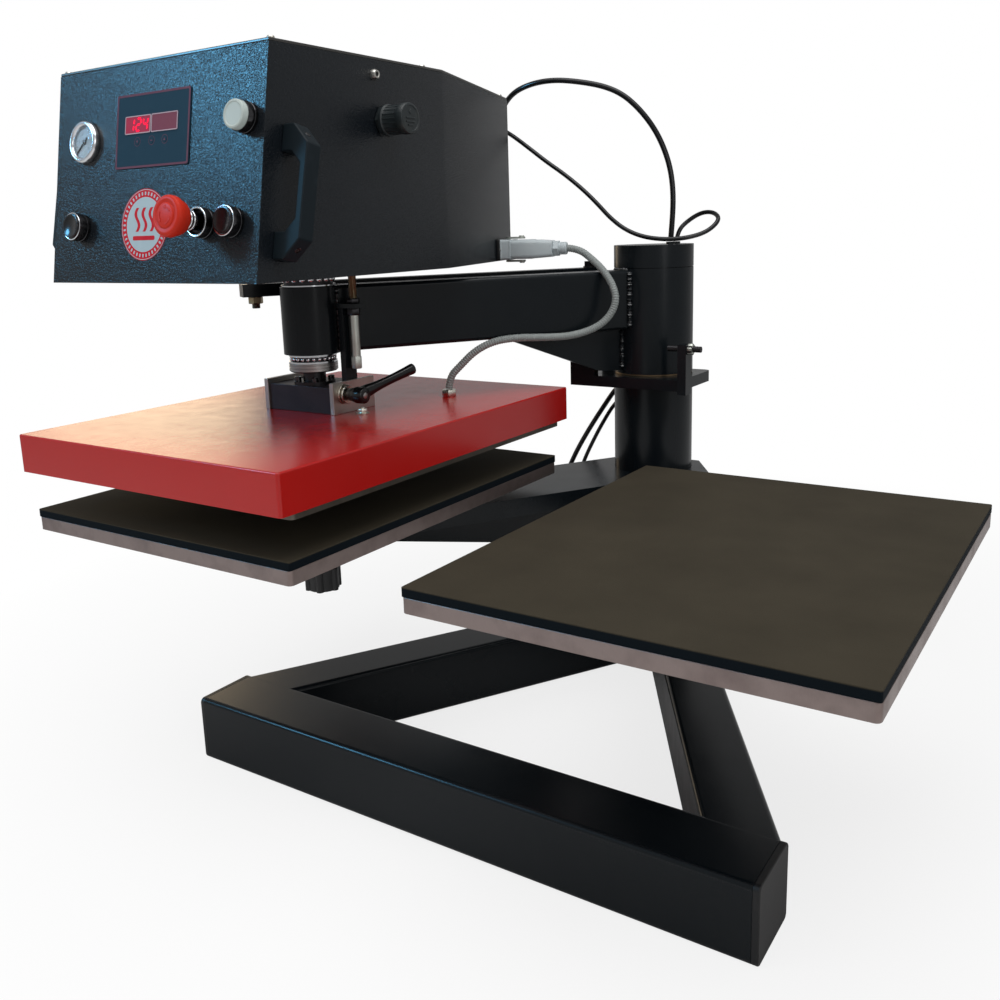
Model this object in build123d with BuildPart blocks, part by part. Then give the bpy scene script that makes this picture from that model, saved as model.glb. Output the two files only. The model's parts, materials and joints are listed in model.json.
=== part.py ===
from build123d import *
import math
import os

# Pneumatic heat press with two tables and a swinging head, in millimetres.
# The origin is on the floor under the column, X to the right, Y to the back, Z up.
# Each function builds one sub-part, and the last section writes one STEP file for each node.

# Driving dimensions of the layout
SWING_HALF = 32.6
ARM_REACH = 489
TABLE_REACH = 495
PAD_TOP = 337
PRESS_GAP = 40
STROKE = 39.5

# Clearances
FIT = 0.3
RUNNING_FIT = 0.05
WELD_GAP = 0.1

# Directions that follow from the swing
SWING_SIN = math.sin(math.radians(SWING_HALF))
SWING_COS = math.cos(math.radians(SWING_HALF))
ARM_WAY = (-SWING_SIN, -SWING_COS, 0)
ARM_SIDE = (SWING_COS, -SWING_SIN, 0)
HEAD_X = -ARM_REACH * SWING_SIN
HEAD_Y = -ARM_REACH * SWING_COS
HEAD_AT = (HEAD_X, HEAD_Y)
TABLE_X = TABLE_REACH * SWING_SIN
TABLE_Y = -TABLE_REACH * SWING_COS

# Floor frame
BASE_HEIGHT = 80
BASE_DEPTH = 80
BASE_WALL = 4
BASE_CORNER = 6
BASE_LENGTH = 709
BASE_FRONT = -557
BASE_REAR = 80
SIDE_WIDTH = 70
SIDE_ANGLE = 30
SIDE_APEX = -15
END_FLANGE = 7
END_PLUG = 15

# Column
COLUMN_RADIUS = 55
COLUMN_WALL = 6
FOOT_SIZE = 140
FOOT_THICK = 8
COLUMN_TOP = 417
GLAND_RADIUS = 9
GLAND_OUT = 69
SPINDLE_RADIUS = 35
SPINDLE_BORE = 25
SPINDLE_BOTTOM = 385
SPINDLE_TOP = 600
PLATE_THICK = 15
SLEEVE_TOP = 579
CAP_TOP = 610
CAP_SEAM = 1
CAP_ROOF = 6
CAP_LIP = 3

# Arm
BEAM_WIDTH = 40
BEAM_HEIGHT = 80
BEAM_WALL = 4
BEAM_MIDDLE = 537
GUSSET_THICK = 10
HOUSING_RADIUS = 34.5
HOUSING_BORE = 24
SHAFT_RADIUS = 20
SHAFT_BORE = 14.3

# Parallel link
LINK_AT = (-108.7, 15.7)
LINK_WIDTH = 25
LINK_THICK = 16
LINK_BOTTOM = 562
LINK_TAIL = 17.5
PIN_RADIUS = 5
NUT_FLATS = 16

# Head box
HEAD_BOTTOM = 594
HEAD_HIGH = 218
HEAD_HALF = 158
HEAD_REAR_HALF = 75
HEAD_FRONT = -643
HEAD_SLOPE = 38
HEAD_BEND = -340
HEAD_REAR = -74
SHEET = 2
FLOOR_THICK = 6
LID_THICK = 3
LID_OVER = 1.5
PANEL_TILT = math.degrees(math.atan(HEAD_SLOPE / HEAD_HIGH))

# Items on the front panel, as across and up from the middle of its lower edge
GAUGE_AT = (-106, 147)
DISPLAY_AT = (0, 153.2)
DISPLAY_SIZE = (112, 74.5)
WHITE_AT = (135, 153)
START_LEFT_AT = (-109.5, 58)
START_RIGHT_AT = (123, 57.5)
ESTOP_AT = (84, 57.5)
BUTTON_TRAVEL = 4
ESTOP_TRAVEL = 6

# Platen
ROD_RADIUS = 14
CYLINDER_RADIUS = 50
CYLINDER_BORE = 45
COVER_WIDTH = 408
COVER_DEPTH = 535
COVER_BOTTOM = 384
COVER_TOP = 427
HOT_WIDTH = 400
HOT_DEPTH = 500
HOT_THICK = 15
HOT_BOTTOM = PAD_TOP + PRESS_GAP
BRACKET_LEFT = -322
BRACKET_RIGHT = -208.5
BRACKET_FRONT = -440
BRACKET_REAR = -366
SIDE_PLATE = 6
BLOCK_TOP = 459
PLATE_TOP = 465
CLAMP_AT = (-421.5, 450.5)
GUIDE_AT = (-206.5, -397.5)

# Tables
PAD_THICK = 9.3
TABLE_THICK = 15
TABLE_CORNER = 5
PAD_CORNER = 2
TABLE_ARM_WIDTH = 140
TABLE_ARM_THICK = 24
TABLE_ARM_TOP = 295
TABLE_ARM_END = 560
TABLE_ARM_REAR = 52
KNOB_AT = (128.7, -133)

# Cords
MAINS = 7.5
HOSE = 6
CONDUIT = 10
ARC_SHARE = 0.45


def ring(inner, outer, bottom, top, at=(0, 0)):
    """A round tube on Z, or a disc where inner is 0."""
    with BuildPart() as part:
        with BuildSketch(Plane.XY.offset(bottom)):
            with Locations(at):
                Circle(outer)
                if inner > 0:
                    Circle(inner, mode=Mode.SUBTRACT)
        extrude(amount=top - bottom)
    return part.part


def ring_on(plane, inner, outer, bottom, top):
    """A round tube along the plane's normal."""
    with BuildPart() as part:
        with BuildSketch(plane.offset(bottom)):
            Circle(outer)
            if inner > 0:
                Circle(inner, mode=Mode.SUBTRACT)
        extrude(amount=top - bottom)
    return part.part


def nut_on(plane, flats, bottom, top, bore=0):
    """A hexagonal nut or bolt head along the plane's normal."""
    with BuildPart() as part:
        with BuildSketch(plane.offset(bottom)):
            RegularPolygon(flats / 2, 6, major_radius=False)
            if bore > 0:
                Circle(bore, mode=Mode.SUBTRACT)
        extrude(amount=top - bottom)
    return part.part


def slab(points, bottom, top):
    """An outline in plan, raised from bottom to top."""
    with BuildPart() as part:
        with BuildSketch(Plane.XY.offset(bottom)):
            Polygon(*points, align=None)
        extrude(amount=top - bottom)
    return part.part


def block(x0, x1, y0, y1, z0, z1):
    """A straight box between two corners."""
    return slab([(x0, y0), (x1, y0), (x1, y1), (x0, y1)], z0, z1)


def plate(width, depth, corner, bottom, top, at=(0, 0)):
    """A flat plate with rounded corners."""
    with BuildPart() as part:
        with BuildSketch(Plane.XY.offset(bottom)):
            with Locations(at):
                RectangleRounded(width, depth, corner)
        extrude(amount=top - bottom)
    return part.part


def profile(plane, points, thick):
    """An outline on any plane, thickened evenly to both sides."""
    with BuildPart() as part:
        with BuildSketch(plane):
            Polygon(*points, align=None)
        extrude(amount=thick / 2, both=True)
    return part.part


def box_tube(plane, width, height, wall, corner, length):
    """A rectangular hollow section along the plane's normal."""
    with BuildPart() as part:
        with BuildSketch(plane):
            RectangleRounded(width, height, corner)
            RectangleRounded(width - 2 * wall, height - 2 * wall, corner - wall / 2, mode=Mode.SUBTRACT)
        extrude(amount=length)
    return part.part


def mirrored(part, x=0):
    """The same piece on the other side of a vertical plane."""
    return mirror(part, about=Plane(origin=(x, 0, 0), z_dir=(1, 0, 0)))


# Floor frame

BEAM_REAR = BASE_FRONT + BASE_DEPTH


def beam_end(x):
    """The section plane of the front beam at one place along it."""
    middle = ((BASE_FRONT + BEAM_REAR) / 2, BASE_HEIGHT / 2)
    return Plane(origin=(x, *middle), x_dir=(0, 1, 0), z_dir=(1, 0, 0))


def front_beam():
    """The square tube that runs across the front."""
    length = BASE_LENGTH - 2 * END_FLANGE
    return box_tube(beam_end(-length / 2), BASE_DEPTH, BASE_HEIGHT, BASE_WALL, BASE_CORNER, length)


def end_cap():
    """The plastic cap with its plug, in the right end of the front beam."""
    face = beam_end(BASE_LENGTH / 2 - END_FLANGE)
    inside = BASE_HEIGHT - 2 * BASE_WALL - 2 * FIT
    with BuildPart() as cap:
        with BuildSketch(face):
            RectangleRounded(BASE_DEPTH, BASE_HEIGHT, BASE_CORNER)
        extrude(amount=END_FLANGE)
        fillet(cap.faces().sort_by(Axis.X)[-1].edges(), END_FLANGE / 4)
        with BuildSketch(face):
            RectangleRounded(inside, inside, BASE_CORNER - BASE_WALL / 2)
            RectangleRounded(inside - BASE_WALL, inside - BASE_WALL, BASE_CORNER / 2, mode=Mode.SUBTRACT)
        extrude(amount=-END_PLUG)
    return cap.part


SIDE_SPARE = 250


def side_beam():
    """The right side beam, coped to the front beam and mitred under the column."""
    angle = math.radians(SIDE_ANGLE)
    along = (math.sin(angle), -math.cos(angle), 0)
    across = (math.cos(angle), math.sin(angle), 0)
    start = Vector(0, SIDE_APEX, BASE_HEIGHT / 2) + Vector(*across) * (SIDE_WIDTH / 2) - Vector(*along) * SIDE_SPARE
    section = Plane(origin=start, x_dir=across, z_dir=along)
    tube = box_tube(section, SIDE_WIDTH, BASE_HEIGHT, BASE_WALL, BASE_CORNER, BASE_LENGTH + SIDE_SPARE)
    outer_apex = SIDE_APEX + SIDE_WIDTH / math.sin(angle)
    outer = (outer_apex - BASE_REAR) * math.tan(angle)
    wall_front = BASE_REAR - BASE_WALL
    inset = BASE_WALL / 2
    wall = slab(
        [(0, wall_front), (outer - inset, wall_front), (outer - inset, BASE_REAR), (0, BASE_REAR)],
        inset, BASE_HEIGHT - inset,
    )
    beam_end_x = BASE_LENGTH / 2 - END_FLANGE
    trim = block(0, beam_end_x, BEAM_REAR - BASE_CORNER, BASE_REAR, 0, BASE_HEIGHT)
    with BuildPart() as front:
        with BuildSketch(beam_end(-BASE_LENGTH)):
            RectangleRounded(BASE_DEPTH + 2 * WELD_GAP, BASE_HEIGHT + 2 * WELD_GAP, BASE_CORNER + WELD_GAP)
        extrude(amount=2 * BASE_LENGTH)
    return (tube + wall - front.part) & trim


# Column

GLAND_WAY = (-0.8, 0.6, 0)
HOSE_GLAND_WAY = (-0.85, 0.527, 0)


def gland(way, height, radius):
    """A cord gland that stands out of the back of the column."""
    face = Plane(origin=(0, 0, height), z_dir=way)
    return ring_on(face, 0, radius, COLUMN_RADIUS - COLUMN_WALL / 2, GLAND_OUT)


def column_tube():
    """The lower tube with its foot plate and the two glands."""
    foot_top = BASE_HEIGHT + FOOT_THICK
    foot = plate(FOOT_SIZE, FOOT_SIZE, BASE_CORNER, BASE_HEIGHT, foot_top)
    tube = ring(COLUMN_RADIUS - COLUMN_WALL, COLUMN_RADIUS, foot_top, COLUMN_TOP)
    glands = gland(GLAND_WAY, 402, GLAND_RADIUS) + gland(HOSE_GLAND_WAY, 380, GLAND_RADIUS - 1)
    return foot + tube + glands


def column_spindle():
    """The hollow spindle with the collar that is welded into the lower tube."""
    bar = ring(SPINDLE_BORE, SPINDLE_RADIUS, SPINDLE_BOTTOM, SPINDLE_TOP)
    collar = ring(SPINDLE_RADIUS - 1, COLUMN_RADIUS - COLUMN_WALL - FIT, SPINDLE_BOTTOM, COLUMN_TOP)
    return bar + collar


MAINS_HOLE = (20.4, 10.7)
HOSE_HOLE = (23.4, 25)
GROMMET_WALL = 2.2
SPIGOT_DEPTH = 8
SPIGOT_WALL = 6


def column_cap():
    """The cap that is pressed into the top of the sleeve, with its two cord grommets."""
    bottom = SLEEVE_TOP + CAP_SEAM
    spigot = COLUMN_RADIUS - COLUMN_WALL - WELD_GAP
    roof = ring(0, COLUMN_RADIUS, CAP_TOP - CAP_ROOF, CAP_TOP)
    wall = ring(spigot - SPIGOT_WALL, COLUMN_RADIUS, bottom, CAP_TOP - CAP_ROOF)
    inside = ring(spigot - SPIGOT_WALL, spigot, SLEEVE_TOP - SPIGOT_DEPTH, bottom)
    grommets = ring(0, MAINS / 2 + GROMMET_WALL, CAP_TOP, CAP_TOP + CAP_LIP, MAINS_HOLE)
    grommets = grommets + ring(0, HOSE / 2 + GROMMET_WALL, CAP_TOP, CAP_TOP + CAP_LIP, HOSE_HOLE)
    return roof + wall + inside + grommets


STOP_LEFT_BLOCK = (-96, -58, -70, -58)
STOP_RIGHT_BLOCK = (70, 82, -78, -60)
STOP_LEFT_Y = -64
STOP_RIGHT_Y = -70
STOP_HEIGHT = 475
STOP_SCREW = 4
SHELF_LOW = 550
SHELF_THICK = 10
SHELF_WIDE = 28
POST_AT = (-80, 25)
POST_SIDE = 20


def link_anchor(plate_top):
    """The post on the stop plate with the shelf that holds the rear bolt of the link."""
    x, y = POST_AT
    half = POST_SIDE / 2
    post = block(x - half, x + half, y - half, y + half, plate_top - 1, SHELF_LOW + 1)
    reach = Vector(*LINK_AT) - Vector(*POST_AT)
    middle = (Vector(*LINK_AT) + Vector(*POST_AT)) / 2
    angle = math.degrees(math.atan2(reach.Y, reach.X))
    with BuildPart() as shelf:
        with BuildSketch(Plane.XY.offset(SHELF_LOW)):
            with Locations((middle.X, middle.Y)):
                SlotCenterToCenter(reach.length, SHELF_WIDE, rotation=angle)
            with Locations(LINK_AT):
                Circle(PIN_RADIUS + FIT, mode=Mode.SUBTRACT)
        extrude(amount=SHELF_THICK)
    return post + shelf.part


def stop_plate():
    """The plate under the sleeve with its two stop blocks and the link's anchor."""
    top = COLUMN_TOP + PLATE_THICK
    with BuildPart() as flat:
        with BuildSketch(Plane.XY.offset(COLUMN_TOP)):
            with Locations((-13, -13.5)):
                RectangleRounded(166, 113, 10)
            Circle(SPINDLE_RADIUS + FIT, mode=Mode.SUBTRACT)
        extrude(amount=PLATE_THICK)
    left = block(*STOP_LEFT_BLOCK, top - 1, 484)
    right = block(*STOP_RIGHT_BLOCK, 414, 481)
    corner = block(STOP_RIGHT_BLOCK[0] - 14, STOP_RIGHT_BLOCK[0] + 1, -70, -58, COLUMN_TOP, top)
    left_corner = block(STOP_LEFT_BLOCK[0], STOP_LEFT_BLOCK[0] + 14, -70, -58, COLUMN_TOP, top)
    holes = ring_on(Plane(origin=(-100, STOP_LEFT_Y, STOP_HEIGHT), z_dir=(1, 0, 0)), 0, STOP_SCREW + FIT, 0, 60)
    more = ring_on(Plane(origin=(60, STOP_RIGHT_Y, STOP_HEIGHT), z_dir=(1, 0, 0)), 0, STOP_SCREW + FIT, 0, 40)
    plate_part = flat.part + left + right + corner + left_corner - holes - more
    return plate_part + link_anchor(top)


def stop_screw(side, centre, outer_end, block_face):
    """A stop screw that almost touches the gusset at the end of the swing, with its lock nut."""
    worst = abs(centre) + STOP_SCREW
    tip = (GUSSET_THICK / 2 + FIT + SWING_SIN * worst) / SWING_COS
    start = Plane(origin=(side * tip, centre, STOP_HEIGHT), z_dir=(side, 0, 0))
    bar = ring_on(start, 0, STOP_SCREW, 0, outer_end - tip)
    nut = nut_on(start, 13, block_face - tip, block_face - tip + 7)
    return bar + nut


def frame_bolts():
    """The two stop screws and the rear bolt of the link."""
    pin = Plane(origin=(*LINK_AT, 0))
    low = SHELF_LOW
    bolt = ring_on(pin, 0, PIN_RADIUS, low - 9, LINK_BOTTOM + LINK_THICK + 1)
    nut = nut_on(pin, NUT_FLATS, low - 8, low)
    spacer = ring_on(pin, 0, PIN_RADIUS + 4, low + SHELF_THICK, LINK_BOTTOM - FIT)
    washer = ring_on(pin, 0, PIN_RADIUS + 5, LINK_BOTTOM + LINK_THICK + FIT, LINK_BOTTOM + LINK_THICK + 2)
    head = nut_on(pin, NUT_FLATS, LINK_BOTTOM + LINK_THICK + 2, LINK_BOTTOM + LINK_THICK + 9)
    left = stop_screw(-1, STOP_LEFT_Y, 106, -STOP_LEFT_BLOCK[0])
    right = stop_screw(1, STOP_RIGHT_Y, 100, STOP_RIGHT_BLOCK[1])
    return bolt + nut + spacer + washer + head + left + right


# Tables

def table_arm():
    """The right table arm with its gusset and four spacer posts."""
    half = TABLE_ARM_WIDTH / 2
    bottom = TABLE_ARM_TOP - TABLE_ARM_THICK
    inner_meet = -half / SWING_SIN
    outer_rear = (half - SWING_SIN * TABLE_ARM_REAR) / SWING_COS
    end = Vector(SWING_SIN, -SWING_COS) * TABLE_ARM_END
    side = Vector(SWING_COS, SWING_SIN) * half
    outline = [
        (0, inner_meet), ((end - side).X, (end - side).Y), ((end + side).X, (end + side).Y),
        (outer_rear, TABLE_ARM_REAR), (0, TABLE_ARM_REAR),
    ]
    beam = slab(outline, bottom, TABLE_ARM_TOP)
    upright = Plane(origin=(0, 0, 0), x_dir=(SWING_SIN, -SWING_COS, 0), z_dir=(SWING_COS, SWING_SIN, 0))
    if upright.y_dir.Z < 0:
        upright = Plane(origin=(0, 0, 0), x_dir=(SWING_SIN, -SWING_COS, 0), z_dir=(-SWING_COS, -SWING_SIN, 0))
    start = COLUMN_RADIUS - 2
    outline = [(start, bottom + 1), (545, bottom + 1), (545, bottom - 4), (start, 184)]
    gusset = profile(upright, outline, GUSSET_THICK)
    arm = beam + gusset - ring(0, COLUMN_RADIUS + FIT, 0, COLUMN_TOP)
    for along in (430, 535):
        for across in (-45, 45):
            at = Vector(SWING_SIN, -SWING_COS) * along + Vector(SWING_COS, SWING_SIN) * across
            arm = arm + ring(0, 10, TABLE_ARM_TOP - 1, PAD_TOP - PAD_THICK - TABLE_THICK, (at.X, at.Y))
    return arm


def table_plate(x, knob_x):
    """An aluminium table plate with the guide block of its lock knob underneath."""
    top = PAD_TOP - PAD_THICK
    low = top - TABLE_THICK
    flat = plate(HOT_WIDTH, HOT_DEPTH, TABLE_CORNER, low, top, (x, TABLE_Y))
    guide = plate(34, 50, 4, low - 20, low, (knob_x, TABLE_Y + KNOB_AT[1]))
    bore = ring(0, PIN_RADIUS + RUNNING_FIT, low - 21, low - 4, (knob_x, TABLE_Y + KNOB_AT[1]))
    return flat + guide - bore


def table_pad(x):
    """A silicone pad that covers its whole table plate."""
    return plate(HOT_WIDTH, HOT_DEPTH, PAD_CORNER, PAD_TOP - PAD_THICK, PAD_TOP, (x, TABLE_Y))


def table_lock(knob_x):
    """The lock knob with its stud."""
    at = (knob_x, TABLE_Y + KNOB_AT[1])
    low = PAD_TOP - PAD_THICK - TABLE_THICK
    with BuildPart() as knob:
        with BuildSketch(Plane.XY.offset(262)):
            with Locations(at):
                Circle(17)
                with PolarLocations(16, 6):
                    Circle(4)
        extrude(amount=24)
    stud = ring(0, PIN_RADIUS, 285, low - 5, at)
    return knob.part + stud


# Arm

BEAM_LOW = BEAM_MIDDLE - BEAM_HEIGHT / 2


def arm_sleeve():
    """The tube that turns on the spindle."""
    return ring(COLUMN_RADIUS - COLUMN_WALL, COLUMN_RADIUS, COLUMN_TOP + PLATE_THICK + 2.5, SLEEVE_TOP)


def arm_beam():
    """The rectangular arm with its gusset, coped to the sleeve and to the pivot housing."""
    section = Plane(origin=(0, 0, BEAM_MIDDLE), x_dir=ARM_SIDE, z_dir=ARM_WAY)
    beam = box_tube(section, BEAM_WIDTH, BEAM_HEIGHT, BEAM_WALL, 5, ARM_REACH)
    upright = Plane(origin=(0, 0, 0), x_dir=ARM_WAY, z_dir=ARM_SIDE)
    if upright.y_dir.Z < 0:
        upright = Plane(origin=(0, 0, 0), x_dir=ARM_WAY, z_dir=(-ARM_SIDE[0], -ARM_SIDE[1], 0))
    outline = [(50, BEAM_LOW + 1), (238, BEAM_LOW + 1), (237, BEAM_LOW), (92, 441), (50, 438)]
    gusset = profile(upright, outline, GUSSET_THICK)
    sleeve = ring(0, COLUMN_RADIUS + WELD_GAP, 0, HEAD_BOTTOM)
    housing = ring(0, HOUSING_RADIUS + WELD_GAP, 0, HEAD_BOTTOM, HEAD_AT)
    return beam + gusset - sleeve - housing


def pivot_housing():
    """The short tube at the end of the arm."""
    return ring(HOUSING_BORE, HOUSING_RADIUS, BEAM_LOW - 0.5, BEAM_LOW + BEAM_HEIGHT - 0.5, HEAD_AT)


def bearing_rings():
    """The bronze rings and thrust washer on the spindle, and the two bushes of the head pivot."""
    spindle = SPINDLE_RADIUS + RUNNING_FIT
    sleeve = COLUMN_RADIUS - COLUMN_WALL - 0.02
    low = COLUMN_TOP + PLATE_THICK
    spigot_end = SLEEVE_TOP - SPIGOT_DEPTH
    rings = ring(spindle, sleeve, low + 2.5, low + 32) + ring(spindle, sleeve, spigot_end - 25, spigot_end - 1)
    washer = ring(spindle + 1, COLUMN_RADIUS - 1, low + FIT, low + 2.5)
    bushes = ring(SHAFT_RADIUS + RUNNING_FIT, HOUSING_BORE - 0.02, BEAM_LOW, BEAM_LOW + 30, HEAD_AT)
    more = ring(SHAFT_RADIUS + RUNNING_FIT, HOUSING_BORE - 0.02, BEAM_LOW + 46, BEAM_LOW + 76, HEAD_AT)
    return rings + washer + bushes + more


def link_bar():
    """The flat bar that keeps the head parallel, with a running hole at the back and a loose one in front."""
    middle = Vector(*LINK_AT) + Vector(*ARM_WAY[:2]) * (ARM_REACH / 2)
    way = math.degrees(math.atan2(ARM_WAY[1], ARM_WAY[0]))
    with BuildPart() as bar:
        with BuildSketch(Plane(origin=(middle.X, middle.Y, LINK_BOTTOM)).rotated((0, 0, way))):
            Rectangle(ARM_REACH + 2 * LINK_TAIL, LINK_WIDTH)
            with Locations((-ARM_REACH / 2, 0)):
                Circle(PIN_RADIUS + 0.08, mode=Mode.SUBTRACT)
            with Locations((ARM_REACH / 2, 0)):
                Circle(PIN_RADIUS + 0.4, mode=Mode.SUBTRACT)
        extrude(amount=LINK_THICK)
    return bar.part


# Head

FRONT_LINK_AT = (HEAD_X + LINK_AT[0], HEAD_Y + LINK_AT[1])
GUIDE_HOLE = 8


def head_outline(inset):
    """The head's outline in plan, with its front edge at the floor."""
    run = HEAD_REAR - HEAD_BEND
    taper = HEAD_HALF - HEAD_REAR_HALF
    slant = math.hypot(run, taper)
    side = HEAD_HALF - inset
    bend = HEAD_BEND + inset * (slant - run) / taper
    rear = HEAD_REAR - inset
    rear_half = side - taper * (rear - bend) / run
    front = HEAD_FRONT + inset / math.cos(math.radians(PANEL_TILT))
    right = [(side, front), (side, bend), (rear_half, rear)]
    left = [(-x, y) for x, y in reversed(right)]
    return [(HEAD_X + x, y) for x, y in right + left]


def head_solid(inset, bottom, top):
    """The head's outline raised between two heights, with the sloped front cut off."""
    body = slab(head_outline(inset), bottom, top)
    shift = inset / math.cos(math.radians(PANEL_TILT))
    slope = HEAD_SLOPE / HEAD_HIGH
    low_y = HEAD_FRONT + shift + slope * (bottom - 1 - HEAD_BOTTOM)
    top_y = HEAD_FRONT + shift + slope * (top + 1 - HEAD_BOTTOM)
    side_view = Plane(origin=(HEAD_X, 0, 0), x_dir=(0, 1, 0), z_dir=(1, 0, 0))
    wedge = profile(side_view, [(low_y, bottom - 1), (top_y, top + 1), (-900, top + 1), (-900, bottom - 1)], 900)
    return body - wedge


def panel(at, height=0):
    """The front panel's plane at a place on it, with its normal outwards."""
    tilt = math.radians(PANEL_TILT)
    across, up = at
    origin = (HEAD_X + across, HEAD_FRONT + up * math.sin(tilt), HEAD_BOTTOM + up * math.cos(tilt))
    return Plane(origin=origin, x_dir=(1, 0, 0), z_dir=(0, -math.cos(tilt), math.sin(tilt))).offset(height)


def head_floor():
    """The floor plate with the pivot's hole, the bush of the guide rod and the front bolt of the link."""
    top = HEAD_BOTTOM + FLOOR_THICK
    flat = head_solid(SHEET + FIT, HEAD_BOTTOM, top)
    flat = flat - ring(0, SHAFT_RADIUS + FIT, HEAD_BOTTOM - 1, top + 1, HEAD_AT)
    flat = flat - ring(0, GUIDE_HOLE, HEAD_BOTTOM - 1, top + 1, GUIDE_AT)
    bush = ring(PIN_RADIUS + RUNNING_FIT, GUIDE_HOLE, HEAD_BOTTOM - 2, top + 6, GUIDE_AT)
    pin = Plane(origin=(*FRONT_LINK_AT, 0))
    link_top = LINK_BOTTOM + LINK_THICK
    standoff = ring_on(pin, 0, PIN_RADIUS + 4, link_top + FIT, HEAD_BOTTOM)
    bolt = ring_on(pin, 0, PIN_RADIUS, LINK_BOTTOM - 15, link_top + 1)
    nut = nut_on(pin, NUT_FLATS, LINK_BOTTOM - 9, LINK_BOTTOM - FIT)
    return flat + bush + standoff + bolt + nut


def head_housing():
    """The sheet box around the head, with the holes of the front panel."""
    top = HEAD_BOTTOM + HEAD_HIGH
    shell = head_solid(0, HEAD_BOTTOM, top) - head_solid(SHEET, HEAD_BOTTOM - 2, top + 2)
    for at in (START_LEFT_AT, START_RIGHT_AT, WHITE_AT, ESTOP_AT):
        shell = shell - ring_on(panel(at), 0, 11, -6, 3)
    shell = shell - ring_on(panel(GAUGE_AT), 0, 21.3, -6, 3)
    with BuildPart() as window:
        with BuildSketch(panel(DISPLAY_AT, -6)):
            Rectangle(DISPLAY_SIZE[0] - 12, DISPLAY_SIZE[1] - 12)
        extrude(amount=9)
    return shell - window.part


def head_lid():
    """The flat lid, a little larger than the box."""
    top = HEAD_BOTTOM + HEAD_HIGH
    return head_solid(-LID_OVER, top, top + LID_THICK)


ROLLER_SINK = 0.1


def roller_row(radius, pitch, count, height):
    """Bearing rollers that lie like spokes in a circle, each sunk a little into the washers."""
    rollers = []
    for number in range(count):
        angle = math.radians(number * 360 / count)
        way = (math.cos(angle), math.sin(angle), 0)
        place = Plane(origin=(HEAD_X + pitch * way[0], HEAD_Y + pitch * way[1], height), z_dir=way)
        rollers.append(ring_on(place, 0, radius + ROLLER_SINK, -radius, radius))
    return rollers


SHAFT_LOW = 474.7
NUT_TOP = 485
LOCK_NUT_RADIUS = 29.5


def thrust_bearing(bottom, top, washer, roller, pitch, count, outer):
    """Two washers with rollers and their cage between them."""
    inner = SHAFT_RADIUS + RUNNING_FIT
    low = ring(inner, outer, bottom, bottom + washer, HEAD_AT)
    high = ring(inner, outer, top - washer, top, HEAD_AT)
    middle = (bottom + top) / 2
    cage = ring(inner, pitch - roller / 3, bottom, top, HEAD_AT)
    cage = cage + ring(inner, pitch + roller * 0.6, middle - roller / 2, middle + roller / 2, HEAD_AT)
    bearing = low + high + cage
    for piece in roller_row(roller, pitch, count, middle):
        bearing = bearing + piece
    return bearing


def thrust_bearings():
    """The thrust bearings under and over the pivot housing."""
    lower = thrust_bearing(NUT_TOP, BEAM_LOW - 0.5 - FIT, 3, 2.6, 25.8, 24, 29)
    upper = thrust_bearing(BEAM_LOW + BEAM_HEIGHT - 0.5 + FIT, HEAD_BOTTOM, 4.3, 4.2, 28, 18, 33)
    return lower + upper


def pivot_shaft():
    """The hollow shaft that the head turns on, with its flange and lock nut."""
    flange_low = HEAD_BOTTOM + FLOOR_THICK
    shaft = ring(SHAFT_BORE, SHAFT_RADIUS, SHAFT_LOW, flange_low + 6, HEAD_AT)
    flange = ring(SHAFT_BORE, 45, flange_low, flange_low + 6, HEAD_AT)
    with BuildPart() as nut:
        with BuildSketch(Plane.XY.offset(SHAFT_LOW)):
            with Locations(HEAD_AT):
                Circle(LOCK_NUT_RADIUS)
                Circle(SHAFT_RADIUS - 1, mode=Mode.SUBTRACT)
        extrude(amount=NUT_TOP - SHAFT_LOW)
        chamfer(nut.faces().sort_by(Axis.Z)[0].outer_wire().edges(), 1.5)
    return shaft + flange + nut.part


def cylinder():
    """The pneumatic cylinder, with the solenoid valve beside it."""
    low = HEAD_BOTTOM + FLOOR_THICK + 6
    high = low + 100
    barrel = ring(CYLINDER_BORE, CYLINDER_RADIUS, low, high, HEAD_AT)
    bottom = ring(ROD_RADIUS + RUNNING_FIT, CYLINDER_BORE + 1, low, low + 10, HEAD_AT)
    top = ring(0, CYLINDER_BORE + 1, high - 10, high, HEAD_AT)
    port = ring_on(Plane(origin=(HEAD_X, HEAD_Y + 30, high)), 0, 7, 0, 20)
    floor_top = HEAD_BOTTOM + FLOOR_THICK
    valve = block(HEAD_X - 30, HEAD_X + 30, HEAD_Y + 120, HEAD_Y + 165, floor_top, floor_top + 60)
    coil = block(HEAD_X - 15, HEAD_X + 15, HEAD_Y + 125, HEAD_Y + 155, floor_top + 60, floor_top + 105)
    return barrel + bottom + top + port + valve + coil


HANDLE_LOW = 616
HANDLE_TALL = 127
HANDLE_TILT = 12.6
HANDLE_OUT = 33
HANDLE_DEEP = 19
HANDLE_LEG = 26
HANDLE_BAR = 8


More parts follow.
